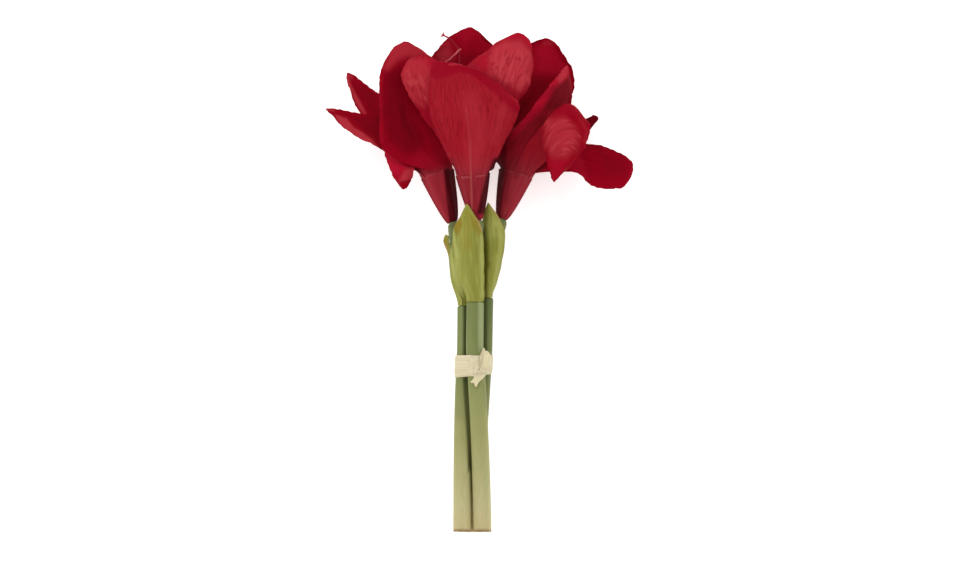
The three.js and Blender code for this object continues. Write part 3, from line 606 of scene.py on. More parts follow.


# %% [markdown]
# These are the tepals' sections. `at` is a tepal's place round the throat in degrees, from the front and
# turning to the right, and `hold` is half the angle that it takes there. A tepal behind the others is given
# by its midrib: place, half width and how far its margins bow inward. The rest of an entry is how the tepal
# looks: how much its margins wave, whether its face toward the camera takes the inner face's deep red as
# painted shade, and whether its crackle runs across it instead of along.

# %% Sections of the tepals
BLOOMS = {
    "centre": {
        "base": (1.8, 281, 14), "throat": (-2, 322, 18), "ridge": -6, "seam": 0.5,
        "tepals": [
            dict(at=0, whorl="outer", hold=58, wave=0.25, sections=[
                [(-20.5, 331, 22), (-2.6, 331, 36.5), (18, 331, 22)],
                [(-27.5, 344, 21), (-3.2, 344, 40), (23.4, 344, 21)],
                [(-40.5, 377, 26), (-3.4, 381, 48), (39.6, 379, 26)],
                [(-40.5, 407, 31), (-8, 404, 50), (32, 393, 31)],
                [(-36.9, 426, 38), (-16, 421, 45), (5.5, 415, 43)],
            ]),
            dict(at=60, wave=0.7, sections=[
                [(3, 328, 32), (11.5, 328, 24.5), (17, 328, 12)],
                [(2, 344, 33), (12, 344, 26), (20.5, 344, 13)],
                [(-2, 375, 34), (18, 375, 27), (33, 377, 13)],
                [(-16, 408, 32), (24, 408, 25), (50, 405, 9)],
                [(14.4, 436, 18), (34, 438, 17), (51.5, 435, 6)],
                [(29.5, 445.6, 12), (38.5, 449.2, 12), (46, 446.8, 9)],
            ]),
            dict(at=120, whorl="outer", spine=[
                (14, 344, 8, 12, 3), (24, 378, -6, 20, 6), (31, 412, -22, 16, 4), (36, 432, -36, 2, 0),
            ]),
            dict(at=180, wave=0.5, sections=[
                [(8, 344, 5), (-2, 344, 2), (-12, 344, 5)],
                [(20, 380, 2), (-1, 382, -7), (-22, 380, 2)],
                [(27, 411, -7), (-2.7, 414, -18), (-40, 419, -15)],
                [(18, 435, -14), (-4.5, 437, -22), (-33, 436, -18)],
                [(7, 448, -20), (-4.5, 454.8, -24), (-19, 449.6, -21)],
            ]),
            dict(at=240, whorl="outer", spine=[
                (-18, 344, 8, 12, 3), (-26, 378, -6, 18, 6), (-31, 412, -22, 15, 4), (-35, 432, -36, 2, 0),
            ]),
            dict(at=300, wave=0.5, sections=[
                [(-25, 344, 13), (-17, 344, 26), (-8, 344, 33)],
                [(-48, 375, 13), (-34, 378, 22), (-18, 378, 33)],
                [(-65.7, 407, 14), (-44, 407, 26), (-22, 407, 32)],
                [(-60.3, 427.5, 12), (-46, 430, 19), (-35, 426, 24)],
            ]),
        ],
    },
    "left": {
        "base": (-20.2, 279, -12), "throat": (-34, 323, -17), "ridge": 20, "seam": 0.22,
        "tepals": [
            dict(at=30, whorl="outer", hold=44, painted_shade_face=1, wave=0.4, sections=[
                [(-64.8, 332, 6), (-45, 340, 0), (-20.7, 340, -6)],
                [(-84.6, 348, 10), (-57, 366, 2), (-31, 368, -4)],
                [(-85.5, 380, 10), (-62, 390, 1), (-38, 392, -4)],
                [(-85.5, 412, 6), (-64, 418, 0), (-38, 412, -6)],
                [(-75.6, 435, -2), (-62, 441.5, -4), (-40, 431, -6)],
            ]),
            dict(at=90, spine=[
                (-26, 344, -28, 11, 2), (-33, 376, -42, 18, 5), (-38, 408, -56, 16, 4), (-42, 430, -66, 2, 0),
            ]),
            dict(at=150, whorl="outer", spine=[
                (-42, 344, -38, 12, 2), (-54, 374, -62, 19, 5), (-66, 400, -80, 17, 4), (-74, 420, -90, 3, 0),
            ]),
            dict(at=210, wave=0.5, sections=[
                [(-47, 350, -34), (-57, 343, -32), (-66, 336, -26)],
                [(-64, 382, -46), (-78, 372, -44), (-92, 360, -34)],
                [(-91, 398, -58), (-100, 391, -56), (-107, 383, -48)],
                [(-112.5, 415, -62), (-115.6, 414, -62), (-117.4, 410.5, -60)],
            ]),
            dict(at=270, whorl="outer", wave=0.5, sections=[
                [(-54, 348, -22), (-58, 338, -18), (-60, 329, -10)],
                [(-83, 372, -30), (-82, 357, -24), (-83, 344, -12)],
                [(-111, 378.5, -34), (-110, 369, -30), (-113, 360, -20)],
                [(-131, 382.5, -34), (-134.5, 381, -34), (-132, 378, -32)],
            ]),
            dict(at=330, wave=0.5, sections=[
                [(-64, 335, -12), (-53, 342, -8), (-42, 338, -4)],
                [(-81, 346, -8), (-68, 352, -2), (-55, 345, 1)],
                [(-77, 327, -2), (-67, 328, 3), (-55, 325, 1)],
                [(-70.5, 315.5, -1), (-64.5, 314.5, 2), (-57.5, 316.5, 0)],
                [(-67.5, 310.5, -1), (-64.4, 308.6, 1), (-61, 311, 0)],
            ]),
        ],
    },
    "right": {
        "base": (24.3, 282, -12), "throat": (37, 323, -16), "ridge": 24, "seam": 0.22,
        "tepals": [
            dict(at=330, whorl="outer", hold=50, wave=0.5, sections=[
                [(16, 340, -8), (40.5, 344, 4), (58.5, 346, -5)],
                [(27.5, 357, -1), (50.5, 358, 4), (68, 359, -5)],
                [(43, 371, 8), (61, 371, 2), (78, 372, -6)],
                [(64.8, 399, 12), (75, 396, 3), (87, 396, -8)],
                [(80, 417, 8), (83, 420, 4), (86, 414, 0)],
            ]),
            dict(at=30, weft=1, wave=0.6, sections=[
                [(46, 348, 6), (63, 352, 8), (78, 348, 2)],
                [(69, 375, 18), (83.7, 385, 18), (95.4, 373, 13)],
                [(61, 364, 27), (82, 362, 34), (103.5, 361, 24)],
                [(63, 340, 26), (79, 337, 33), (94, 339, 26)],
                [(68.4, 320, 25), (71, 315, 26), (76, 320, 25)],
            ]),
            dict(at=90, whorl="outer", wave=0.7, sections=[
                [(62, 324, -8), (63, 333, -14), (62, 343, -22)],
                [(92, 323, 0), (90, 336, -8), (88, 350, -18)],
                [(106, 311, 2), (113, 329, -6), (117, 347, -14)],
                [(130, 309, 0), (137, 322, -6), (139, 336, -12)],
                [(137, 314, -3), (141, 321, -6), (142.5, 329, -9)],
            ]),
            dict(at=150, wave=1.2, sections=[
                [(60, 330, -26), (60, 340, -32), (56, 350, -34)],
                [(88, 340, -36), (84, 354, -46), (76, 366, -48)],
                [(103, 361, -52), (101, 367, -56), (97, 371, -57)],
                [(108.5, 368.5, -59), (111.5, 373, -60.5), (109, 377, -61)],
            ]),
            dict(at=210, whorl="outer", spine=[
                (44, 344, -38, 12, 2), (56, 370, -62, 20, 5), (71, 394, -80, 18, 4), (82, 414, -90, 3, 0),
            ]),
            dict(at=270, wave=0.9, sections=[
                [(49.5, 345, -31), (38.7, 346, -31), (29.7, 344, -24)],
                [(76.5, 381, -40), (54, 380, -42), (33, 375, -31)],
                [(90, 402, -40), (61, 407, -46), (34, 405, -34)],
                [(84, 425, -38), (64, 434, -44), (40.5, 435.5, -36)],
                [(74, 437.5, -38), (65, 445, -40), (52.5, 440.5, -37)],
            ]),
        ],
    },
}
print("tepals:", sum(len(b["tepals"]) for b in BLOOMS.values()))

# %% [markdown]
# These are the tones of the petals and tubes, bloom by bloom, most of them painted shade and painted light. A
# key is the tepal's place round the throat.

# %% Tones of the petals
PETAL_TONES = {
    "centre": {
        0: [
            area("deep", 1, 4, (428, 61), (440, 62), (458, 63), (470, 64), (483, 70), (494, 77), (505, 87),
                 (513, 99), (521, 108), (520, 114), (510, 109), (503, 101), (494, 93), (481, 83), (470, 75),
                 (460, 73), (447, 77), (436, 80), (428, 74)),
            line("lit", 0.7, 1.6, 2, (450, 65), (460, 64.5), (468, 65.5)),
            area("deep", 0.8, 5, (427, 82), (431, 84), (431, 106), (428, 100)),
            line("lit", 0.4, 16, 22, (470, 100), (480, 130), (474, 165)),
            line("lit", 0.35, 10, 16, (503, 112), (492, 140)),
            line("deep", 0.6, 2, 3, (433, 118), (443, 137), (453, 155)),
            line("dark", 0.5, 2, 4, (452, 158), (458, 172)),
            line("dark", 0.6, 2, 5, (498, 158), (488, 172)),
            line("rib", 0.3, 0.8, 2.4, (466, 108), (470, 140)),
            line("rib", 0.65, 0.8, 2.4, (470, 140), (471, 176)),
        ],
        60: [
            area("lit", 0.8, 8, (493, 48), (505, 42), (520, 41), (531, 52), (531, 82), (520, 90), (505, 82),
                 (488, 74), (490, 58)),
            area("crackle", 1, 8, (490, 56), (505, 50), (528, 52), (529, 84), (519, 92), (503, 84),
                 (487, 72)),
            area("fresh", 0.8, 4, (497, 42), (508, 33), (520, 30), (532, 42), (530, 50), (522, 40),
                 (508, 40)),
            area("fresh", 0.7, 8, (474, 62), (487, 54), (492, 74), (480, 70)),
            area("deep", 0.8, 8, (508, 90), (518, 96), (530, 88), (530, 108), (514, 106)),
        ],
        180: [
            line("dark", 0.35, 4, 16, (450, 66), (470, 58), (480, 64)),
            line("dark", 0.75, 1.5, 7, (484, 37), (494, 44)),
            area("lit", 0.55, 10, (436, 50), (448, 42), (454, 58), (440, 66)),
            area("fresh", 0.4, 10, (455, 32), (470, 26), (476, 34), (464, 44)),
        ],
        300: [
            area("lit", 0.42, 8, (407, 58), (426, 60), (432, 74), (430, 96), (424, 108), (410, 100),
                 (402, 84), (403, 70)),
            area("crackle", 1, 8, (406, 70), (428, 76), (430, 100), (422, 106), (410, 98), (403, 82)),
            area("fresh", 0.5, 6, (418, 58), (440, 61), (436, 80), (428, 72)),
            area("deep", 0.9, 8, (414, 106), (430, 104), (436, 130), (430, 128)),
        ],
    },
    "left": {
        30: [
            area("lit", 0.5, 9, (383, 68), (388, 58), (391, 48), (400, 40), (410, 41), (424, 48), (436, 56),
                 (436, 64), (420, 62), (408, 56), (398, 60), (388, 70)),
            line("fresh", 0.8, 3, 4, (392, 45), (400, 41), (408, 41)),
            area("dark", 0.35, 12, (384, 74), (404, 66), (404, 92), (411, 110), (424, 140), (420, 150),
                 (406, 155), (388, 140), (382, 110)),
            line("dark", 0.6, 10, 18, (401, 106), (404, 122), (412, 138)),
            line("fresh", 0.3, 8, 12, (420, 116), (436, 142), (450, 162)),
            area("fresh", 0.35, 10, (418, 152), (440, 156), (452, 168), (425, 170), (410, 164)),
            line("fresh", 0.35, 3, 5, (381, 78), (380.5, 110), (382, 140)),
        ],
        210: [
            line("lit", 0.85, 4, 3, (345, 73), (348, 84), (354, 95), (359, 104), (364, 114)),
            line("lit", 0.5, 5, 4, (344, 72), (350, 76)),
            area("dark", 0.25, 8, (356, 84), (378, 92), (378, 116), (368, 112)),
            line("dark", 0.5, 3, 6, (381, 96), (381, 116)),
        ],
        270: [
            area("lit", 0.85, 3, (334, 114), (346, 118), (353, 127), (363, 133), (371, 139), (377, 146),
                 (365, 143), (350, 133), (340, 124)),
            line("lit", 0.6, 4, 4, (325, 108), (333, 109)),
            area("dark", 0.3, 8, (350, 116), (378, 116), (380, 144), (364, 130)),
            line("dark", 0.6, 4, 6, (378, 116), (379, 134)),
        ],
        330: [
            area("fresh", 0.9, 6, (382, 148), (400, 158), (408, 168), (398, 178), (388, 168)),
            area("lit", 0.75, 5, (401, 176), (405, 170), (412, 167), (418, 172), (412, 178), (405, 181),
                 (398, 182)),
            line("dark", 0.5, 1, 1.5, (399, 182), (409, 181)),
            line("lit", 0.7, 1, 1.6, (391, 153), (396, 156), (398, 160)),
            line("dark", 0.5, 3, 6, (403, 163), (412, 166), (420, 166)),
        ],
        "tube": [
            area("lit", 0.25, 4, (420, 172), (443, 172), (448, 200), (450, 222), (440, 212), (428, 190)),
            area("dark", 0.78, 3, (444, 169), (456, 169), (460, 224), (450, 224), (446, 196)),
        ],
    },
    "right": {
        330: [
            area("dark", 0.28, 14, (498, 132), (515, 138), (540, 112), (552, 120), (540, 150), (522, 172),
                 (498, 172)),
            area("dark", 0.7, 8, (494, 140), (505, 134), (508, 150), (506, 176), (492, 176)),
            area("dark", 0.55, 8, (552, 88), (570, 76), (573, 100), (562, 110), (544, 110)),
            area("fresh", 1, 2.4, (508, 139), (520, 125), (527, 111), (538, 99), (547, 89), (555, 79),
                 (563, 66), (568, 60), (569, 72), (565, 80), (558, 87), (550, 98), (541, 110), (530, 121),
                 (514, 138)),
            area("lit", 0.7, 4, (556, 78), (563, 66), (568, 64), (567, 76), (560, 84)),
            line("lit", 0.7, 1.6, 3, (541, 145), (530, 158), (524, 170)),
            area("lit", 0.4, 8, (534, 158), (548, 150), (548, 166), (534, 170), (526, 172)),
        ],
        30: [
            area("lit", 0.6, 10, (545, 120), (564, 118), (575, 128), (579, 140), (574, 150), (566, 158),
                 (552, 158), (545, 146)),
            area("crackle", 1, 8, (544, 120), (568, 118), (582, 134), (578, 150), (562, 156), (546, 152)),
            area("deep", 1, 6, (541, 112), (560, 102), (574, 104), (580, 118), (566, 114), (548, 118)),
            line("lit", 0.2, 3, 4, (580, 120), (587, 131), (585, 142)),
            line("deep", 0.8, 2, 4, (567, 155), (580, 151)),
            area("fresh", 0.6, 6, (548, 160), (568, 160), (554, 184), (550, 174)),
        ],
        90: [
            area("fresh", 0.7, 8, (570, 150), (582, 158), (588, 180), (577, 176), (566, 166)),
            line("fresh", 0.9, 4, 5, (583, 182), (592, 189), (602, 190)),
            line("fresh", 0.8, 3, 4, (634, 166), (630, 180), (625, 188)),
            area("dark", 0.22, 20, (600, 150), (628, 158), (628, 178), (604, 176)),
            line("dark", 0.3, 2, 5, (586, 144), (605, 147), (622, 155)),
        ],
        150: [
            area("dark", 0.62, 6, (580, 118), (600, 112), (600, 126), (590, 134)),
            line("dark", 0.6, 2, 4, (581, 120), (590, 116), (597, 115)),
        ],
        270: [
            area("dark", 0.4, 20, (530, 78), (556, 74), (566, 94), (540, 100), (512, 130)),
            line("dark", 0.5, 8, 12, (540, 86), (526, 102), (514, 122), (506, 136)),
            area("fresh", 0.6, 14, (536, 42), (556, 42), (568, 64), (562, 76), (536, 72)),
            line("lit", 0.5, 3, 6, (545, 42), (551, 42)),
        ],
        "tube": [
            area("dark", 0.8, 7, (490, 164), (506, 164), (504, 190), (500, 222), (494, 222)),
            line("dark", 0.35, 6, 10, (508, 170), (505, 200)),
            line("rib", 0.4, 0.8, 2.4, (524, 168), (503, 218)),
            area("lit", 0.12, 8, (520, 176), (534, 172), (520, 200), (508, 214), (505, 208)),
        ],
    },
}
PETAL_TONES["centre"]["tube"] = [
    area("dark", 0.9, 4, (486, 176), (493, 159), (502, 156), (492, 190), (488, 214), (477, 214), (481, 196)),
    line("dark", 0.5, 1.2, 2.5, (456, 175), (464.5, 203)),
    line("rib", 0.9, 1, 2.6, (471, 172), (472, 214)),
]
print("tones:", sum(len(strokes) for tones in PETAL_TONES.values() for strokes in tones.values()))

# %% [markdown]
# The two lowest tepals touch the surface that the bunch lies on. There they are bent flat along it, much
# as in the solids, so that the bunch rests on them and doesn't reach below.

# %% Building one tepal
PRESS_FROM = 7  # what lies lower than this, in millimetres, is lifted
WAVELENGTHS = (23, 11)  # of the waves along a margin, in millimetres
WAVE_SHIFT, SIDE_SHIFT = 2.4, 0.9  # of the waves, in radians: from petal to petal, and to either margin
DEFAULT_WAVE = 0.6
RIB_HEIGHT, RIB_WIDTH = 0.35, 1.3
RIB_GONE, RIB_FULL = 1.0, 0.7  # shares of a petal's length where its rib has gone, and up to where it is full
NIBBLES, NIBBLE_DEPTH = (6.7, 3.9), 0.3  # of the uneven margins: lengths and depth in millimetres
NIBBLED, WAVED, THINNED = (0.8, 0.35, 0.5), (0.45, 0.3, 0.55), (0.5, 0.2, 0.5)  # where on a petal
ROUND_TIP = 0.06  # share of a petal's length that its rounded tip takes
CREASE_HEIGHT = 0.22
FOLDS_ACROSS, FOLDS_ALONG, FOLD_SWAY = 0.9, 0.35, 1.7  # radians to a millimetre, and radians
WEFT = 0.26  # the crackle's pattern is squeezed to this share along its folds, which draws them out
TUBE_FADE, TUBE_FULL = 26, 4  # the tube's tint ends this far beyond the throat, and is full this far below
TUBE_TINT = 0.9
SHADED_FACE_HIDES, SHADED_FACE_FROM = 0.6, 8  # share of that tint that a face painted in the inner red as shade hides, and where that starts
PER_DECIMETRE = 100


def pressed(points):
    up = np.array([0.0, math.sin(LIE_TILT), math.cos(LIE_TILT)])
    height = laid(points)[..., 2] / MM - TEPAL_THICKNESS / 2
    bent = np.where(height < -PRESS_FROM, 0, (height + PRESS_FROM) ** 2 / (4 * PRESS_FROM))
    lift = np.where(height > PRESS_FROM, 0, bent - height)
    return points + up * lift[..., None]


def tepal_part(bloom, tepal, strokes, own):
    net = tepal_net(bloom, **tepal)
    points, u, v = sheet(net, TEPAL_ROWS, TEPAL_COLUMNS, ROUND_TIP)
    reach = span_of(points, 0)
    reach -= reach[:, TEPAL_COLUMNS // 2][np.searchsorted(u, 1 / (len(net) - 1))]
    wide = span_of(points, 1)
    wide -= wide[:, [TEPAL_COLUMNS // 2]]
    tones = tones_on(points, strokes)

    def waves(lengths):
        total = 0
        for k, length in enumerate(lengths, start=1):
            turn = 2 * math.pi * reach / length + WAVE_SHIFT * own * k + np.sign(v) * SIDE_SHIFT
            total = total + np.sin(turn) / k
        return total

    sideways = np.gradient(points, axis=1)
    sideways = sideways / np.linalg.norm(sideways, axis=-1, keepdims=True)
    outermost = np.sign(v)[None, :] * at_margins(u, v, *NIBBLED)
    points = points + sideways * (NIBBLE_DEPTH * outermost * waves(NIBBLES))[..., None]
    height = tepal.get("wave", DEFAULT_WAVE) * at_margins(u, v, *WAVED) * waves(WAVELENGTHS)
    height = height + RIB_HEIGHT * np.exp(-((wide / RIB_WIDTH) ** 2)) * ease(u, RIB_GONE, RIB_FULL)[:, None]
    folds = np.sin(wide * FOLDS_ACROSS + FOLD_SWAY * np.sin(reach * FOLDS_ALONG + own))
    height = height + CREASE_HEIGHT * tones.get("crackle", 0.0) * folds
    points = pressed(points + sheet_normals(points) * height[..., None])
    thickness = lerp(TEPAL_THICKNESS, MARGIN_THICKNESS, at_margins(u, v, *THINNED))
    finer, coarser = (WEFT, 1.0) if tepal.get("weft") else (1.0, WEFT)
    hidden = SHADED_FACE_HIDES * tepal.get("painted_shade_face", 0) * ease(reach, 0, SHADED_FACE_FROM)
    traits = {
        "across": v[None, :],
        "reach": reach / PER_DECIMETRE,
        "crease_x": wide / PER_DECIMETRE * finer,
        "crease_y": reach / PER_DECIMETRE * coarser,
        "own": own,
        "tube": ease(-reach, -TUBE_FADE, TUBE_FULL) * TUBE_TINT * (1 - hidden),
    }
    points_laid, faces, traits = thickened(points, thickness, traits, tones)
    # Such a tepal takes the inner face's deep red on both faces: painted shade on a face that lies in shadow.
    if tepal.get("painted_shade_face"):
        traits["inner"] = np.ones(len(points_laid))
    return points_laid, faces, traits


# %% [markdown]
# The tube is a closed shell: up the outside, over the throat and down the inside. It has six grooves, and
# three fine ridges that carry on the rib of about every second tepal. Where the tepals leave the throat
# there is a thin pale seam. Each ridge is a pale rib on the sides where no tone is laid.

# %% Building one tube
TUBE_SIDES, TUBE_ROWS, TUBE_FLOOR = 108, 40, 4
RIDGE_HEIGHT, RIDGE_WIDTH = 0.45, 7.0
SEAM_AT, SEAM_HEIGHT, SEAM_SHARE = 0.98, 0.25, 0.02
LIP = 0.9  # how far the rim rolls in at the throat
RIB_TINT, RIB_TINT_WIDTH = 0.5, 9
ACROSS_TUBE = 2  # how far `across` runs to each side on a tube, where a petal has 1
INSIDE_HIDES = 0.6  # share of the tube's tint that its inner face hides
SEAM_LEFT, SEAM_FRONT = 0.35, (0.3, 0.9)  # share of its tint left at the sides, and where it fades to that


def tube_part(bloom, ridge, seam, strokes, own):
    angle = all_round(TUBE_SIDES)
    toward = np.cos(angle)[:, None] * bloom.front + np.sin(angle)[:, None] * bloom.right
    shares = np.linspace(0, 1, TUBE_ROWS)
    from_ridge = np.degrees(np.arccos(np.cos(3 * (angle - math.radians(ridge))))) / 3
    crest = RIDGE_HEIGHT * np.exp(-((from_ridge / RIDGE_WIDTH) ** 2))

    def at_seam(s):
        return np.exp(-(((s - SEAM_AT) / SEAM_SHARE) ** 2))

    def ring(s, inset, detail=True):
        radius = (bloom.radius(s) - inset) * (1 - GROOVE * np.cos(6 * angle))
        if detail:
            radius = radius + crest + SEAM_HEIGHT * at_seam(s)
        return bloom.centre(s) + toward * radius[:, None]

    rows = [ring(s, LIP * ease(s, SEAM_AT, 1.0)) for s in shares]
    rows += [ring(s, TUBE_WALL, False) for s in shares[:TUBE_FLOOR:-1]]
    s = np.concatenate([shares, shares[:TUBE_FLOOR:-1]])[:, None] * np.ones(TUBE_SIDES)
    inside = np.repeat([0.0, 1.0], [TUBE_ROWS, len(rows) - TUBE_ROWS])[:, None] * np.ones(TUBE_SIDES)
    clear = lerp(SEAM_LEFT, 1, ease(np.cos(angle), *SEAM_FRONT))[None, :]
    front = ease(toward[:, 2], *TUBE_FACES_FRONT)[None, :] * (1 - inside)
    points, faces = capped(np.concatenate(rows), grid_faces(len(rows), TUBE_SIDES, True), TUBE_SIDES)
    traits = {
        "across": np.broadcast_to(np.cos(angle) * ACROSS_TUBE, s.shape),
        "reach": (s - 1) * bloom.length / PER_DECIMETRE,
        "own": np.full(s.shape, float(own)),
        "inner": inside,
        "tube": TUBE_TINT * (1 - INSIDE_HIDES * inside),
        "seam": seam * at_seam(s) * (1 - inside) * clear,
        **{key: value * front for key, value in tones_on(np.array(rows), strokes).items()},
    }
    ribs = RIB_TINT * np.exp(-((from_ridge / RIB_TINT_WIDTH) ** 2))[None, :] * (1 - inside)
    traits["rib"] = ribs * (1 - front) + traits.get("rib", 0.0)
    ends = {key: [value.ravel(), value[0, :1], value[-1, :1]] for key, value in traits.items()}
    return laid(points), faces, {key: np.concatenate(value) for key, value in ends.items()}


for number, (name, made) in enumerate(BLOOMS.items()):
    bloom = Bloom(made["base"], made["throat"])
    tones = PETAL_TONES[name]
    first = (len(made["tepals"]) + 1) * number
    parts = [tube_part(bloom, made["ridge"], made["seam"], tones["tube"], first + len(made["tepals"]))]
    for k, tepal in enumerate(made["tepals"], start=first):
        parts.append(tepal_part(bloom, tepal, tones.get(tepal["at"], []) + tones["tube"], k))
    stands_for(mesh_piece(f"{name}_bloom", parts, petal.material), "petal", f"bloom_{name}")

# %% [markdown]
# What follows a path is made with Geometry Nodes: the stems, the stalks of the blooms and the stamens. The
# mesh that goes in is just the path, with a thickness, a setback and a tint stored on each point. The tree
# turns it into a curve, runs a circle along it, flutes it lightly, and sets the finish.

# %% A Geometry Nodes tree for strands


def strand_tree():
    tree = bpy.data.node_groups.new("strand", "GeometryNodeTree")
    face = tree.interface
    face.new_socket("Geometry", in_out="INPUT", socket_type="NodeSocketGeometry")
    for name, kind in (("Sides", "Int"), ("Flutes", "Int"), ("Flute depth", "Float"), ("Finish", "Material")):
        face.new_socket(name, in_out="INPUT", socket_type="NodeSocket" + kind)
    face.new_socket("Geometry", in_out="OUTPUT", socket_type="NodeSocketGeometry")

    def node(kind, inputs, output=0, **settings):
        return add_node(tree, kind, inputs, output, **settings)

    given = tree.nodes.new("NodeGroupInput").outputs
    path = node("GeometryNodeMeshToCurve", {"Mesh": given["Geometry"]})
    share = node("GeometryNodeSplineParameter", {})
    path = node("GeometryNodeStoreNamedAttribute", {"Geometry": path, "Name": "along", "Value": share})
    circle = node("GeometryNodeCurvePrimitiveCircle", {"Resolution": given["Sides"], "Radius": 1.0})
    place_round = node("GeometryNodeSplineParameter", {})
    stored = {"Geometry": circle, "Name": "around", "Value": place_round}
    circle = node("GeometryNodeStoreNamedAttribute", stored)
    thick = node("GeometryNodeInputNamedAttribute", {"Name": "thick"})
    body = node("GeometryNodeCurveToMesh",
                {"Curve": path, "Profile Curve": circle, "Scale": thick, "Fill Caps": True})
    around = node("GeometryNodeInputNamedAttribute", {"Name": "around"})
    turns = node("ShaderNodeMath", {0: around, 1: given["Flutes"]}, operation="MULTIPLY")
    turns = node("ShaderNodeMath", {0: turns, 1: 2 * math.pi}, operation="MULTIPLY")
    flute = node("ShaderNodeMath", {0: turns}, operation="COSINE")
    flute = node("ShaderNodeMath", {0: flute, 1: given["Flute depth"]}, operation="MULTIPLY")
    out = node("GeometryNodeInputNormal", {})
    fluted = node("ShaderNodeVectorMath", {0: out, "Scale": flute}, operation="SCALE")
    sunk = node("GeometryNodeInputNamedAttribute", {"Name": "sunk"})
    up_stem = (0.0, math.cos(LIE_TILT), math.sin(LIE_TILT))
    back = node("ShaderNodeVectorMath", {0: up_stem, "Scale": sunk}, operation="SCALE")
    moved = node("ShaderNodeVectorMath", {0: fluted, 1: back}, operation="ADD")
    body = node("GeometryNodeSetPosition", {"Geometry": body, "Offset": moved})
    body = node("GeometryNodeRealizeInstances", {"Geometry": body})
    body = node("GeometryNodeSetMaterial", {"Geometry": body, "Material": given["Finish"]})
    tree.links.new(body, tree.nodes.new("NodeGroupOutput").inputs[0])
    return tree


STRAND = strand_tree()


def lay_tones(piece, strokes):
    """Lays tones on a finished piece, where it faces the camera."""
    mesh = piece.data
    flat = np.empty(len(mesh.vertices) * 3)
    mesh.vertices.foreach_get("co", flat)
    facing = np.array([normal.vector[:] for normal in mesh.vertex_normals]) @ np.array(looking)
    for key, value in tones_on(stood(flat.reshape(-1, 3)), strokes).items():
        store(mesh, key, value * ease(facing, *PIECE_FACES_FRONT))


def volume_of(mesh):
    return sum(p.area * p.center.dot(p.normal) for p in mesh.polygons) / 3


def strands(name, paths, finish, sides=24, flutes=0, flute_depth=0.0):
    """One mesh of strands; each path is (points, radii, setbacks, tints), with sizes in millimetres."""
    points = np.concatenate([path[0] for path in paths])
    starts = np.cumsum([0] + [len(path[0]) for path in paths[:-1]])
    edges = [(s + i, s + i + 1) for path, s in zip(paths, starts) for i in range(len(path[0]) - 1)]
    mesh = bpy.data.meshes.new(name)
    mesh.from_pydata(laid(points).tolist(), edges, [])
    for key, column, unit in (("thick", 1, MM), ("sunk", 2, MM), ("tint", 3, 1)):
        values = np.concatenate([np.broadcast_to(path[column], len(path[0])) for path in paths]) * unit
        store(mesh, key, values)
    piece = bpy.data.objects.new(name, mesh)
    scene.collection.objects.link(piece)
    modifier = piece.modifiers.new("strand", "NODES")
    modifier.node_group = STRAND
    named = {item.name: item.identifier for item in STRAND.interface.items_tree if item.in_out == "INPUT"}
    given = {"Sides": sides, "Flutes": flutes, "Flute depth": flute_depth * MM, "Finish": finish}
    for key, value in given.items():
        modifier[named[key]] = value
    bpy.context.view_layer.update()
    made = bpy.data.meshes.new_from_object(piece.evaluated_get(bpy.context.evaluated_depsgraph_get()))
    piece.modifiers.remove(modifier)
    piece.data = made
    if volume_of(made) < 0:
        made.flip_normals()
    smoothed(made)
    return piece


print("strand tree:", len(STRAND.nodes), "nodes")

# %% [markdown]
# A cut stem fades from grey green under the bracts to cream at its cut end, where the dried edge is brown.
# Height along the lying stem drives the fade. Faint lengthwise streaks and a waxy sheen do the rest.

# %% Stem finish
FADE = (  # height up the stem in millimetres, and the colour there
    (0, screen(205, 188, 138)), (22, screen(200, 190, 142)), (50, screen(182, 176, 124)),
    (85, screen(160, 158, 102)), (118, screen(148, 150, 94)), (150, screen(124, 134, 80)),
    (200, screen(106, 118, 66)),
)
CUT_BROWN = screen(142, 112, 72)
BROWNED = (-1.0, 2.2)  # millimetres from the cut end over which that brown fades out
STEM_LIGHT, STEM_SHADE = screen(150, 160, 112), screen(48, 54, 16)
STREAK_GREEN, BLOTCH_GREEN = screen(116, 122, 70), screen(170, 172, 116)
FADE_HEIGHT = 200

scape = Finish("scape", 0.5, Specular_IOR_Level=0.12)
where = scape.place()
height = scape.node("ShaderNodeSeparateXYZ", {0: where}, 1)
cut_y, top_y = (float(laid([0, y, 0])[1]) for y in (0, FADE_HEIGHT))
share = scape.node("ShaderNodeMapRange", {0: height, 1: cut_y, 2: top_y})
faded = colour_ramp(scape.tree, share, [(mark / FADE_HEIGHT, colour) for mark, colour in FADE])


def drawn_out(squeeze):
    """Object coordinates squeezed along the stems, so that a pattern runs lengthwise."""
    return scape.node("ShaderNodeMapping", {"Vector": where, "Scale": (1.0, squeeze, 1.0)})


streaks = scape.noise(drawn_out(0.03), 900.0)
blotches = scape.noise(drawn_out(0.2), 90.0, 2.0)
shaded = scape.mix(scape.span(streaks, 0.3, 0.7, 0.0, 0.16), faded, STREAK_GREEN)
shaded = scape.mix(scape.span(blotches, 0.35, 0.7, 0.0, 0.14), shaded, BLOTCH_GREEN)
browned = scape.span(height, cut_y + BROWNED[0] * MM, cut_y + BROWNED[1] * MM, 0.85, 0.0)
shaded = scape.mix(browned, shaded, CUT_BROWN)
scape.colour(scape.each({"light": STEM_LIGHT, "shade": STEM_SHADE}, shaded))
scape.bump(streaks, 0.25, 0.0004)
print("stem finish:", len(scape.tree.nodes), "nodes")

# %% [markdown]
# Three stems twist round each other through the tie. Each runs up to its seat, steps in to a neck inside
# the bracts, and ends there. At the cut end the rim is rolled and the pith has shrunk back a little.

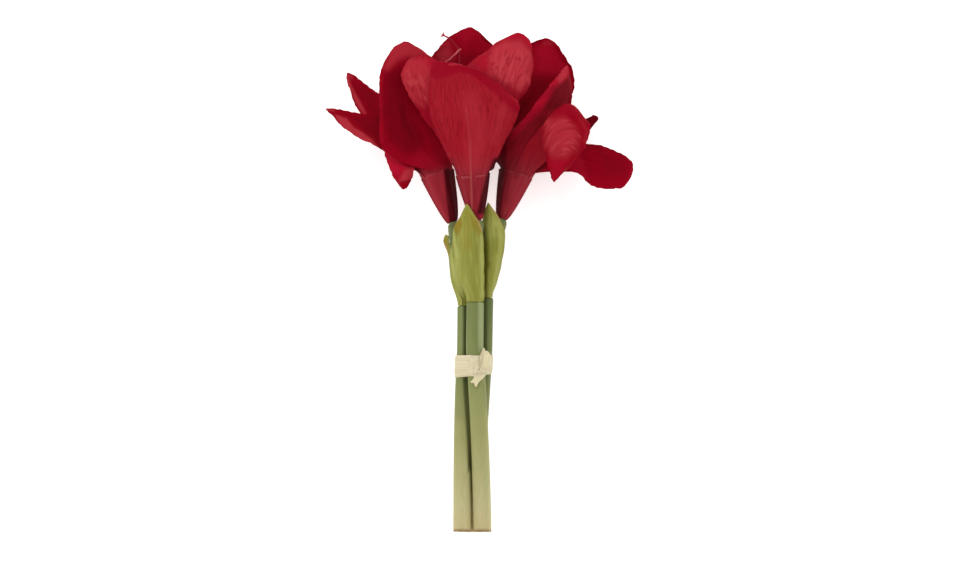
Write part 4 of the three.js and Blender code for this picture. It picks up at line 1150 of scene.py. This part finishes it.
# %% Stems
NECK_RADIUS, NECK_LENGTH, NECK_TAPER = 5.8, 12, 0.6
STEM_SIDES, STEM_FLUTES, STEM_FLUTE_DEPTH = 60, 7, 0.12
STEP = 4.0
CUT_FACE = [  # height, radius and setback of the shrunk pith and the rolled rim
    (0.0, 0.05, 1.1), (0.02, 3.0, 1.0), (0.04, 5.4, 0.5), (0.06, 6.8, 0.1),
    (0.08, STEM_RADIUS_CUT - CUT_BEVEL, 0.0), (0.35, STEM_RADIUS_CUT - 0.25, 0.0),
]
SHOULDER, SHOULDER_WIDTH, NECK_STARTS = 0.8, 0.9, 0.1  # the rounded step from the stem in to its neck


def stem_path(name):
    seat = SEATS[name]
    heights = np.concatenate([[CUT_BEVEL], np.arange(STEP, seat - 1, STEP), [seat - SHOULDER]])
    body = [(y, stem_radius(y), 0.0) for y in heights]
    neck = [(seat, NECK_RADIUS + SHOULDER_WIDTH, 0.0), (seat + NECK_STARTS, NECK_RADIUS, 0.0)]
    neck += [(seat + NECK_LENGTH, NECK_RADIUS - NECK_TAPER, 0.0)]
    heights, radii, setbacks = np.array(CUT_FACE + body + neck).T
    return np.array([stem_centre(name, y) for y in heights]), radii, setbacks, 0.0


STEM_TONES = {
    "front": [
        line("light", 0.9, 4.5, 2.5, (480.5, 300), (480.5, 345), (481.5, 356)),
        line("light", 0.35, 0.8, 1.5, (466.5, 300), (466.5, 354)),
        line("light", 0.2, 4, 6, (486, 470), (488, 530)),
        line("shade", 0.3, 1, 3, (483.5, 385), (486, 410)),
        line("shade", 0.35, 1, 2, (467, 380), (469, 430), (470.5, 460)),
    ],
    "left": [
        line("light", 0.3, 2, 3, (461, 306), (461, 345)),
        area("shade", 0.82, 3, (463.5, 298), (467, 298), (467, 357), (463, 357)),
        area("shade", 0.16, 6, (450, 376), (464, 376), (464, 420), (450, 420)),
        area("shade", 0.8, 3, (462.5, 376), (468, 376), (469.5, 440), (472, 470), (468, 470), (467, 440),
             (464, 400)),
        line("shade", 0.5, 0.8, 1.5, (470, 470), (473, 534)),
    ],
    "right": [
        area("shade", 0.82, 4, (482, 292), (487.5, 292), (487.5, 352), (482, 352)),
        area("shade", 0.25, 4, (484, 292), (496, 292), (496, 354), (484, 354)),
        area("shade", 0.32, 4, (484, 374), (493, 374), (492, 416), (484, 416)),
    ],
}

for name in SEATS:
    path = stem_path(name)
    stem = strands(f"{name}_scape", [path], scape.material, STEM_SIDES, STEM_FLUTES, STEM_FLUTE_DEPTH)
    lay_tones(stem, STEM_TONES[name])
    stands_for(stem, "scape", f"stem_{name}")

# %% [markdown]
# The stalk of a bloom leaves the neck upright or leaning aside, and bends over to meet its tube. Its upper
# half swells into the three-lobed ovary.

# %% Stalks and ovaries
PEDICEL_RADIUS, OVARY_RADIUS = 3.6, 5.3
LEAVES_NECK, MEETS_TUBE, TUBE_TAPER = 20, 14, 1.5
SWELLS, NARROWS = (0.6, 0.85), (0.92, 1)  # shares of a stalk's length
STALK_STEPS, STALK_SIDES, OVARY_LOBES, LOBE_DEPTH = 36, 36, 3, 0.22
OVARY_GREEN, OVARY_LIGHT = screen(98, 108, 62), screen(118, 128, 82)
LEANS_OUT = {"front": 0, "left": -19, "right": 8}
BLOOM_OF = {"front": "centre", "left": "left", "right": "right"}

stalk_green = Finish("ovary", 0.5, Specular_IOR_Level=0.15)
mottle = stalk_green.noise(stalk_green.place(), 260.0, 3.0)
stalk_green.colour(stalk_green.mix(stalk_green.span(mottle, 0.3, 0.7), OVARY_GREEN, OVARY_LIGHT))
stalk_green.bump(mottle, 0.2, 0.0004)


def bezier(a, b, c, d, t):
    t = t[:, None]
    return a * (1 - t) ** 3 + 3 * b * t * (1 - t) ** 2 + 3 * c * t**2 * (1 - t) + d * t**3


for name, of in BLOOM_OF.items():
    bloom = Bloom(BLOOMS[of]["base"], BLOOMS[of]["throat"])
    up = np.array([0.0, 1.0, 0.0])
    start = stem_centre(name, SEATS[name] + NECK_LENGTH) + up * CLEARANCE
    end = bloom.foot - bloom.axis * CLEARANCE
    t = np.linspace(0, 1, STALK_STEPS)
    leaving = np.array([LEANS_OUT[name], LEAVES_NECK, 0.0])
    points = bezier(start, start + leaving, end - bloom.axis * MEETS_TUBE, end, t)
    radii = lerp(PEDICEL_RADIUS, OVARY_RADIUS, ease(t, *SWELLS)) - TUBE_TAPER * ease(t, *NARROWS)
    path = (points, radii, 0.0, 0.0)
    stalk = strands(f"{name}_stalk", [path], stalk_green.material, STALK_SIDES, OVARY_LOBES, LOBE_DEPTH)
    stands_for(stalk, "pedicel", f"pedicel_{name}")

# %% [markdown]
# Six stamens and a style stand in each tube. They lean one way together and part toward their ends. Each
# filament carries an anther that lies across it, and the style ends in three short lobes.

# %% Stamens
FILAMENT_RADIUS, FILAMENT_TIP, STYLE_TIP = 0.65, 0.5, 0.8
FILAMENT_STEPS, STAMEN_SIDES = 40, 12
ANTHER_LENGTH, ANTHER_RADIUS, ANTHER_ARCH, ANTHER_STEPS = 8, 1.0, 1.2, 15
BLUNT = 0.02  # how blunt the ends of anthers and lobes are
STYLE = 1  # the place of the style among the tips
RED_UP_TO = (0.98, 0.88)  # shares of the style's length where its red has gone, and up to where it is full
LOBES, LOBE_LENGTH, LOBE_RADIUS, LOBE_STEPS = (30, 150, 270), 4.2, 0.75, 8
LOBE_ASIDE, LOBE_AHEAD = 0.7, 0.6
DISC_LEVELS, DISC_RADIUS = (0.14, 0.2), 4.8
FOOT_LEVEL, FOOT_RING, THROAT_RING, MIDDLE_RING = 0.16, 3.2, 4.4, 4
TIP_PULL, STRAIGHT_END = 0.2, 3
STAMENS = {
    "centre": {
        "tips": [(-15, 433, 6), (-28, 447, 2), (2, 406, 16), (10, 414, 8), (23, 420, -1), (12, 396, 16),
                 (-8, 400, 24)],
        "lean": (-6, 376, 14),
        "by_way_of": {
            0: [(-27, 418, 5), (-21.5, 426.5, 5)],
            STYLE: [(-14, 430, 2), (-18, 438.5, 0), (-22.5, 443.8, 1)],
        },
    },
    "left": {
        "tips": [(-58, 398, -22), (-66, 394, -26), (-52, 392, -28), (-60, 384, -16), (-70, 384, -24),
                 (-56, 380, -34), (-62, 402, -30)],
        "lean": (-48, 360, -22),
    },
    "right": {
        "tips": [(66, 378, -18), (72, 382, -14), (63, 366, -20), (70, 368, -10), (77, 374, -22),
                 (66, 366, -28), (78, 384, -18)],
        "lean": (50, 358, -16),
    },
}

FILAMENT_FOOT, FILAMENT_PINK = screen(150, 52, 56), screen(206, 96, 104)
ANTHER_ROSE, ANTHER_PINK = screen(170, 62, 74), screen(202, 104, 104)
STYLE_RED = screen(136, 10, 30)

filament = Finish("filament", 0.5, Specular_IOR_Level=0.08)  # its `tint` is 1 on an anther, -1 on the style
tint = filament.trait("tint")
pollen = filament.times(tint, 1.0, clamp=True)
reddened = filament.times(tint, -1.0, clamp=True)
grain = filament.noise(filament.place(), 2400.0, 2.0)
pink = filament.mix(filament.trait("along"), FILAMENT_FOOT, FILAMENT_PINK)
grained = filament.mix(filament.span(grain, 0.4, 0.6), ANTHER_ROSE, ANTHER_PINK)
filament.colour(filament.mix(reddened, filament.mix(pollen, pink, grained), STYLE_RED))


def stamen_paths(name):
    bloom = Bloom(BLOOMS[name]["base"], BLOOMS[name]["throat"])
    tips = np.array(STAMENS[name]["tips"], float)
    aside = tips - tips.mean(axis=0)
    azimuths = np.arctan2(aside @ bloom.right, aside @ bloom.front)
    order = np.argsort(azimuths)
    paths, anthers = [], []
    by_way_of = STAMENS[name].get("by_way_of", {})
    for i, k in enumerate(order):
        angle = azimuths[order[0]] + 2 * math.pi * i / len(tips)
        out = bloom.front * math.cos(angle) + bloom.right * math.sin(angle)
        middle = lerp(np.array(STAMENS[name]["lean"], float), tips[k], TIP_PULL) + out * MIDDLE_RING
        places = [bloom.centre(FOOT_LEVEL) + out * FOOT_RING, bloom.centre(1) + out * THROAT_RING, middle]
        passed = by_way_of.get(k, [tips[k] - bloom.axis * STRAIGHT_END])
        places += [np.array(place, float) for place in [*passed, tips[k]]]
        t = np.linspace(0, 1, FILAMENT_STEPS)
        if k in by_way_of:
            out = (tips[k] - places[-2]) / np.linalg.norm(tips[k] - places[-2])
        is_style = k == STYLE
        tints = -ease(t, *RED_UP_TO) if is_style else 0.0
        radii = lerp(FILAMENT_RADIUS, STYLE_TIP if is_style else FILAMENT_TIP, t)
        paths.append((through(places, t), radii, 0.0, tints))
        anthers.append((tips[k], out, is_style))
    return bloom, paths, anthers


for name in STAMENS:
    bloom, paths, anthers = stamen_paths(name)
    disc = [bloom.centre(s) for s in DISC_LEVELS]
    paths.append((np.array(disc), DISC_RADIUS, 0.0, 0.0))
    for tip, out, is_style in anthers:
        if is_style:
            apart = np.cross(out, bloom.front)
            reach = np.linspace(0, 1, LOBE_STEPS)
            for lobe in LOBES:
                spread = apart * math.cos(math.radians(lobe)) + bloom.front * math.sin(math.radians(lobe))
                way = spread * LOBE_ASIDE + out * LOBE_AHEAD
                radii = LOBE_RADIUS * np.sqrt(1 + BLUNT - reach**2)
                paths.append((tip + way * reach[:, None] * LOBE_LENGTH, radii, 0.0, 0.0))
        else:
            t = np.linspace(-1, 1, ANTHER_STEPS)
            arch = bloom.axis * -ANTHER_ARCH
            points = tip + out * (t * ANTHER_LENGTH / 2)[:, None] + arch * (t**2)[:, None]
            paths.append((points, ANTHER_RADIUS * np.sqrt(np.maximum(1 - t**2, BLUNT)), 0.0, 1.0))
    stamens = strands(f"{name}_stamens", paths, filament.material, STAMEN_SIDES)
    stands_for(stamens, "stamen", f"stamens_{name}")

# %% [markdown]
# The bracts are what is left of the bud's sheath: two papery valves on each neck, yellow green and finely
# lined, browned where they have dried at their upper edges.

# %% Bract finish
BRACT_GREEN, BRACT_LIGHT, BRACT_DARK = screen(147, 148, 66), screen(160, 162, 80), screen(132, 133, 52)
BRACT_TONES = {
    "brown": screen(140, 118, 22), "light": screen(170, 172, 94), "shade": screen(84, 82, 14),
    "tan": screen(184, 136, 96),
}

sheath = Finish("bract", 0.55, Specular_IOR_Level=0.12)
across, reach, own = sheath.trait("across"), sheath.trait("reach"), sheath.trait("own")
lines = sheath.noise(sheath.together(sheath.times(across, 7.0), reach, own), 1.6, 2.5, 0.5)
broad = sheath.noise(sheath.together(sheath.times(across, 1.6), sheath.times(reach, 1.4), own), 1.7)
green = sheath.mix(sheath.span(lines, 0.3, 0.7), BRACT_DARK, BRACT_GREEN)
green = sheath.mix(sheath.span(broad, 0.42, 0.68, 0.0, 0.6), green, BRACT_LIGHT)
sheath.colour(sheath.each(BRACT_TONES, green))
sheath.bump(lines, 0.35, 0.0005)
print("bract finish:", len(sheath.tree.nodes), "nodes")

# %% [markdown]
# Each valve is a sheet through sections, as a tepal is. It hugs the lower half of the neck and opens above,
# and its margins ripple a little.

# %% Bracts
BRACT_RADIUS, BRACT_FLARE, BRACT_THICKNESS, BRACT_HOLD = 7.1, 0.9, 0.9, 82
BRACT_ROWS, BRACT_COLUMNS = 72, 48
BRACT_STREAK, BROWNED_EDGE = 60, 0.35
BRACT_MARGIN_THICKNESS = 0.4
BRACT_THINNED, BRACT_BROWNED = (0.4, 0.1, 0.3), (0.6, 0.6, 0.9)  # where on a valve
RIPPLE_HEIGHT, RIPPLE_LENGTH, RIPPLE_FROM = 0.18, 17, 0.3
BRACT_RIDGES, BRACT_RIDGE_HEIGHT = 6, 0.1
BRACTS = {
    "front": [
        dict(at=0, tones=[
            area("brown", 0.9, 4, (453, 222), (461, 216), (463, 225), (459, 235), (455, 233)),
            line("shade", 0.4, 1.5, 3, (455, 226), (457, 236)),
            area("brown", 0.7, 7, (469, 213), (477, 219), (483, 231), (479, 236), (471, 226)),
            line("tan", 0.8, 1, 2, (477, 219), (482, 231)),
            area("brown", 0.3, 8, (463, 210), (470, 208), (472, 250), (461, 250)),
            line("light", 0.75, 2, 2.5, (453.5, 232), (455, 244), (457.5, 257)),
            line("light", 0.4, 4, 5, (456, 262), (459, 288)),
            line("light", 0.45, 3, 3, (481, 236), (482, 296)),
            line("shade", 0.2, 3, 5, (475, 226), (476.5, 262)),
            line("shade", 0.14, 4, 5, (472, 262), (473, 298)),
        ], sections=[
            [(-15.2, 227, 9.8), (-2.7, 227, 20.5), (8.1, 227, 13.5)],
            [(-18.8, 253, 8.5), (-4, 254, 24), (7.6, 254, 15)],
            [(-19.6, 271.5, 11), (-4.8, 275, 24), (5.9, 273, 19.5)],
            [(-12.6, 285, 20), (-6.8, 288, 24.5), (-1.4, 287, 24)],
            [(-8, 294.6, 24), (-7.4, 295.2, 24.2), (-6.6, 294.6, 24.2)],
        ]),
        dict(at=180, sections=[
            [(8, 228, 9.5), (0.5, 228, 3.2), (-7.5, 228, 9.5)],
            [(8, 254, 9), (1, 254, 4.5), (-6, 254, 9)],
            [(6.4, 267, 8.6), (1.3, 267, 5.4), (-3.6, 267, 8.6)],
            [(2.5, 275, 6.6), (1.5, 276, 6), (0.5, 275, 6.6)],
        ]),
    ],
    "left": [
        dict(at=60, tones=[
            line("light", 0.7, 3, 4, (452, 250), (453, 270), (455, 290), (459, 300)),
            line("shade", 0.3, 1.5, 2.5, (452, 242), (453, 256)),
            line("shade", 0.4, 1, 1.8, (463, 292), (465, 297), (465, 306)),
            line("light", 0.7, 5, 4, (453, 264), (458, 280), (462, 294)),
        ], sections=[
            [(-19.4, 227, 0.8), (-10.5, 227, 8), (-4, 227, 2)],
            [(-22.4, 248, -3), (-14.8, 250, 3.4), (-7.5, 248, 0)],
            [(-20.2, 262.5, -3), (-18, 263.5, -1), (-15.6, 262.5, -3)],
            [(-19.6, 269.4, -3), (-19.2, 270, -2.6), (-18.6, 269.4, -3)],
        ]),
        dict(at=250, tones=[
            line("brown", 0.7, 3, 3, (445, 238), (447, 246), (450, 256)),
            line("tan", 0.8, 0.8, 1.5, (444.5, 243), (447.5, 249)),
        ], sections=[
            [(-11, 227, -15.5), (-20.8, 227, -9), (-18, 227, 0)],
            [(-17.5, 249, -19.5), (-23.6, 249, -12), (-20.5, 249, -5)],
            [(-24, 260, -18), (-28, 261, -13), (-23, 259, -8)],
            [(-26.5, 265.5, -16), (-26.4, 267.6, -13.5), (-23.6, 266.5, -11)],
        ]),
    ],
    "right": [
        dict(at=20, tones=[
            area("shade", 0.85, 4, (480, 224), (486, 226), (487.5, 250), (488, 300), (482, 300), (481, 240)),
            area("shade", 0.6, 5, (484, 256), (491, 264), (488, 272), (484, 272)),
            area("shade", 0.4, 5, (478, 214), (487, 206), (488, 222), (484, 228)),
            line("shade", 0.3, 2.5, 4, (496, 228), (496.5, 252)),
            line("tan", 0.6, 1.5, 2.5, (491.5, 207), (500.5, 221)),
            area("light", 0.4, 8, (488, 216), (500, 222), (505, 240), (490, 236)),
            line("light", 0.4, 3, 5, (497, 265), (494, 292)),
        ], sections=[
            [(5.6, 228, 0), (14, 228, 4), (20.7, 228, -5)],
            [(6, 254, 0), (16.5, 254, 6), (26, 254, -4)],
            [(6, 275, 1), (15.5, 276, 7), (26.4, 271.5, -1)],
            [(8.4, 288, 4), (14.5, 288.5, 6.5), (19, 286.5, 3)],
            [(11.2, 295.5, 5), (11.8, 296.3, 5), (12.8, 295.4, 4.8)],
        ]),
        dict(at=200, sections=[
            [(18.5, 228, -12), (9, 228, -15.5), (3.6, 228, -5)],
            [(24, 254, -15), (13, 254, -19), (8, 254, -7)],
            [(25, 270, -18), (17, 271, -22), (11.5, 270, -13)],
            [(18.5, 284, -21), (17.5, 285.5, -21.5), (16, 284, -20.5)],
        ]),
    ],
}


def bract_part(name, valve, own):
    seat = SEATS[name] + 4 * CLEARANCE / 3

    def on_neck(height, side):
        angle = math.radians(valve["at"] + side * BRACT_HOLD)
        radius = BRACT_RADIUS + (BRACT_FLARE if height > 0 else 0)
        return stem_centre(name, seat + height) + radius * np.array([math.sin(angle), 0, math.cos(angle)])

    rooted = [[on_neck(height, side) for side in SIDES] for height in (0, NECK_LENGTH / 2)]
    net = rooted + [list(section) for section in valve["sections"]]
    points, u, v = sheet(net, BRACT_ROWS, BRACT_COLUMNS)
    reach = span_of(points, 0)
    ripple = RIPPLE_HEIGHT * np.sin(2 * math.pi * reach / RIPPLE_LENGTH + own)
    ripple = ripple * ease(np.abs(v), RIPPLE_FROM, 1)[None, :]
    ridge = BRACT_RIDGE_HEIGHT * np.cos(v * math.pi * BRACT_RIDGES)[None, :]
    ridge = ridge * ease(u, 0, 0.1)[:, None] * ease(u, 1, 0.8)[:, None]
    points = points + sheet_normals(points) * (ripple + ridge)[..., None]
    thickness = lerp(BRACT_THICKNESS, BRACT_MARGIN_THICKNESS, at_margins(u, v, *BRACT_THINNED))
    traits = {"across": v[None, :], "reach": reach / BRACT_STREAK, "own": own}
    traits["brown"] = BROWNED_EDGE * at_margins(u, v, *BRACT_BROWNED)
    return thickened(points, thickness, traits, tones_on(points, valve.get("tones", [])))


for number, (name, valves) in enumerate(BRACTS.items()):
    for k, (which, valve) in enumerate(zip(("outer", "inner"), valves)):
        part = bract_part(name, valve, 2 * number + k)
        piece = mesh_piece(f"{name}_valve_{which}", [part], sheath.material)
        stands_for(piece, "bract", f"bract_{name}_{which}")

# %% [markdown]
# Raffia is a strip of palm leaf, cream and matt, with fine ribs along it. It is wound round the stems,
# crossed over at the front right and pulled into a flat knot. Its two ends are cut to points.

# %% Raffia finish
RAFFIA_LIGHT, RAFFIA_CREAM, RAFFIA_SHADE = screen(228, 219, 190), screen(220, 208, 174), screen(202, 186, 148)
# The paler straw colour is painted light on the tie's lit faces; the brown is painted shade in its folds,
# crease and the knot's hole.
RAFFIA_PAINTED_LIGHT, RAFFIA_PAINTED_SHADE = screen(232, 222, 174), screen(128, 108, 72)

raffia = Finish("raffia", 0.8, Specular_IOR_Level=0.2)
across, reach, own = raffia.trait("across"), raffia.trait("reach"), raffia.trait("own")
fibres = raffia.noise(raffia.together(raffia.times(across, 14.0), reach, own), 1.4, 4.0, 0.65)
tone = raffia.noise(raffia.together(across, reach, own), 1.5, 2.0)
cream = raffia.mix(raffia.span(fibres, 0.3, 0.62), RAFFIA_SHADE, RAFFIA_CREAM)
cream = raffia.mix(raffia.span(tone, 0.4, 0.7, 0.0, 0.7), cream, RAFFIA_LIGHT)
raffia.colour(raffia.each({"lit": RAFFIA_PAINTED_LIGHT, "shade": RAFFIA_PAINTED_SHADE}, cream))
raffia.bump(fibres, 0.35, 0.0004)
print("raffia finish:", len(raffia.tree.nodes), "nodes")

# %% [markdown]
# The band is pulled tight round three stems, so it runs straight between them and round each. Two turns
# lie over each other, and their edges don't quite meet. The knot's pieces are sheets through sections.

# %% Tie
BAND_SIDES, BAND_ROWS = 240, 14
BAND_RIBS, BAND_RIB_HEIGHT = 7, 0.04
EDGE_WAVES, EDGE_SHARE = ((3, 0.35), (7, 0.2)), 0.6  # waves to a turn and their height, and how much shows
EDGE_ROUNDED, EDGE_SHARPNESS = 0.25, 8
REACH_OF_TURN = 1.2  # how far `reach` runs on a turn, to a radian
STRIP_RIBS, STRIP_RIB_HEIGHT, STRIP_REACH = 5, 0.08, 10
UNDER_TURN_LOWER, OVER_TURN_HIGHER = 2.2, 2.6  # how far short of the band's top and foot a turn ends
UNDER_TURN_OUTSIDE, OVER_TURN_INSIDE = 0.6, 0.4  # heights above the clearance
OVER_TURN_SLANT = 0.4
TIE_SLANT = 0.1
TIE_THICKNESS = 1.0


def band_ring(y, offset):
    centres = np.array([stem_centre(name, y) for name in SEATS])
    angle = -all_round(BAND_SIDES)
    normals = np.stack([np.cos(angle), np.zeros(BAND_SIDES), np.sin(angle)], axis=-1)
    farthest = centres[np.argmax(normals @ centres.T, axis=1)]
    return farthest + normals * (stem_radius(y) + offset)[:, None]


def band_part(bottom, top, slant, inside, outside, own):
    """One turn of the strip: a closed ring with ribs along it and slightly uneven edges."""
    turn = all_round(BAND_SIDES)
    v = np.linspace(-1, 1, BAND_ROWS)
    uneven = sum(high * np.sin(count * turn + k * own) for k, (count, high) in enumerate(EDGE_WAVES, start=1))
    ribs = BAND_RIB_HEIGHT * np.cos(v * math.pi * BAND_RIBS)

    def ring(share, offset):
        y = lerp(bottom, top, (share + 1) / 2)
        points = band_ring(y, np.broadcast_to(offset, BAND_SIDES))
        lower_slant = TIE_SLANT * slant * (1 - share) / 2
        points[:, 1] += lower_slant * points[:, 0] + uneven * share * EDGE_SHARE
        return points

    crown = outside + ribs - EDGE_ROUNDED * np.abs(v) ** EDGE_SHARPNESS
    rows = [ring(share, height) for share, height in zip(v, crown)]
    rows += [ring(share, inside) for share in v[::-1]]
    points = np.array(rows)
    n = len(points)
    faces = grid_faces(n, BAND_SIDES, True)
    closing = np.arange(BAND_SIDES)
    ahead = (closing + 1) % BAND_SIDES
    last = (n - 1) * BAND_SIDES
    faces = np.concatenate([faces, np.stack([last + closing, last + ahead, ahead, closing], axis=-1)])
    rounds = np.broadcast_to(np.concatenate([v, v[::-1]])[:, None], (n, BAND_SIDES))
    around = np.broadcast_to(turn * REACH_OF_TURN, (n, BAND_SIDES))
    traits = {"across": rounds.ravel(), "reach": around.ravel(), "own": np.full(n * BAND_SIDES, float(own))}
    return laid(points.reshape(-1, 3)), faces, traits


def strip_part(net, own, thickness=0.7, rows=36, columns=15):
    points, u, v = sheet(net, rows, columns, crowded=False)
    ribs = STRIP_RIB_HEIGHT * np.cos(v * math.pi * STRIP_RIBS)[None, :] * np.ones(rows)[:, None]
    points = points + sheet_normals(points) * ribs[..., None]
    traits = {"across": v[None, :], "reach": span_of(points, 0) / STRIP_REACH, "own": own}
    return thickened(points, np.full(points.shape[:2], thickness), traits)


TAIL_UP = [
    [(3.6, 146.5, 18.4), (6.5, 147, 18.8), (9.5, 147.5, 17.4)],
    [(4.2, 153, 18.6), (6.8, 153.5, 18.8), (9.6, 154, 17)],
    [(4.6, 158.4, 18.2), (6.9, 159.4, 17.8), (9.4, 160, 16)],
    [(6.2, 162.6, 17.4), (7.6, 163.2, 17), (9, 163.2, 16)],
    [(7.5, 165.4, 16.8), (7.9, 165.8, 16.7), (8.4, 165.2, 16.4)],
]
TAIL_DOWN = [
    [(0.4, 150, 18.2), (4, 150, 18.8), (7.4, 150, 17.6)],
    [(-0.7, 146, 18.7), (4, 146, 19.3), (9.4, 147, 16.6)],
    [(-0.9, 140.5, 18.9), (4, 140.5, 19.5), (9.9, 142, 16.4)],
    [(-0.9, 136, 19.1), (2, 136, 19.7), (6.6, 138, 18.6)],
    [(-0.6, 132.8, 19.2), (1, 132.8, 19.6), (3.4, 134.8, 19.2)],
    [(0.3, 131, 19.2), (0.9, 130.7, 19.3), (1.6, 131.4, 19.2)],
]
POINT_LEFT = [
    [(-0.6, 143, 18.6), (1.6, 143, 19), (4, 143, 18.7)],
    [(-0.9, 139.4, 18.8), (1.2, 138.4, 19.3), (3, 137, 19.3)],
    [(-2.4, 136.8, 19), (-1.2, 135.6, 19.3), (0.4, 134.4, 19.3)],
    [(-4.1, 135.4, 19), (-3.8, 134.7, 19.1), (-3.2, 134.3, 19.1)],
]
LOOP = [
    [(8.6, 161.6, 16), (10.6, 163, 14.6), (13.6, 159.4, 11)],
    [(6.8, 157, 18.6), (11, 158, 16.4), (14.8, 155, 11.2)],
    [(5.2, 151.5, 19.2), (10.5, 152, 17.2), (15, 151, 11.4)],
    [(4, 147, 19), (9.5, 147, 17), (14.6, 146.6, 11.6)],
    [(3.4, 143.5, 18.2), (8.8, 143, 16.4), (14, 142.6, 11.8)],
]
# Painted shade in the tie's crease, folds and the knot's hole, and painted light on its lit faces.
TIE_TONES = [
    line("shade", 0.6, 0.9, 1.4, (460, 368.4), (464.5, 368.2)),
    line("shade", 1, 1, 1, (478.6, 369.4), (479.6, 369.4)),
    line("shade", 0.35, 1.5, 2.5, (483, 354), (481, 362), (479.4, 368)),
    line("shade", 0.3, 1.5, 2.5, (474, 374), (486, 373)),
    area("lit", 0.6, 4, (484, 354), (489, 354), (488, 368), (483, 368)),
    line("shade", 0.4, 0.8, 1.6, (480.5, 356), (483.4, 349.5)),
    line("lit", 0.7, 1.2, 2, (484, 348), (483, 354)),
    area("lit", 0.6, 3, (470, 379), (486, 375), (480, 384), (476, 388)),
]
under = (CLEARANCE, CLEARANCE + UNDER_TURN_OUTSIDE)
over = (CLEARANCE + OVER_TURN_INSIDE, CLEARANCE + TIE_THICKNESS)
parts = [
    band_part(TIE_BOTTOM, TIE_TOP - UNDER_TURN_LOWER, 1, *under, 1),
    band_part(TIE_BOTTOM + OVER_TURN_HIGHER, TIE_TOP, OVER_TURN_SLANT, *over, 2),
    strip_part(LOOP, 5), strip_part(TAIL_UP, 3), strip_part(POINT_LEFT, 6), strip_part(TAIL_DOWN, 4),
]
tie = mesh_piece("raffia_strip", parts, raffia.material)
lay_tones(tie, TIE_TONES)
stands_for(tie, "raffia", "raffia_tie")

# %% [markdown]
# The floor is a plain white sheet that everything rests on. It isn't part of the object.

# %% Floor
FLOOR_SIZE = 40.0
FLOOR_WHITE, FLOOR_GLOW = (0.95, 0.95, 0.95, 1), 0.5
floor_finish = Finish("floor", 0.9, Specular_IOR_Level=0.0)
floor_finish.shader.inputs["Base Color"].default_value = FLOOR_WHITE
floor_finish.shader.inputs["Emission Color"].default_value = WHITE
floor_finish.shader.inputs["Emission Strength"].default_value = FLOOR_GLOW
half_floor = FLOOR_SIZE / 2
ground = bpy.data.meshes.new("floor")
ground.from_pydata([(-half_floor, -half_floor, 0), (half_floor, -half_floor, 0), (half_floor, half_floor, 0),
                    (-half_floor, half_floor, 0)], [], [(0, 1, 2, 3)])
ground.materials.append(floor_finish.material)
floor = bpy.data.objects.new("floor", ground)
scene.collection.objects.link(floor)
print("floor", FLOOR_SIZE, "m wide")
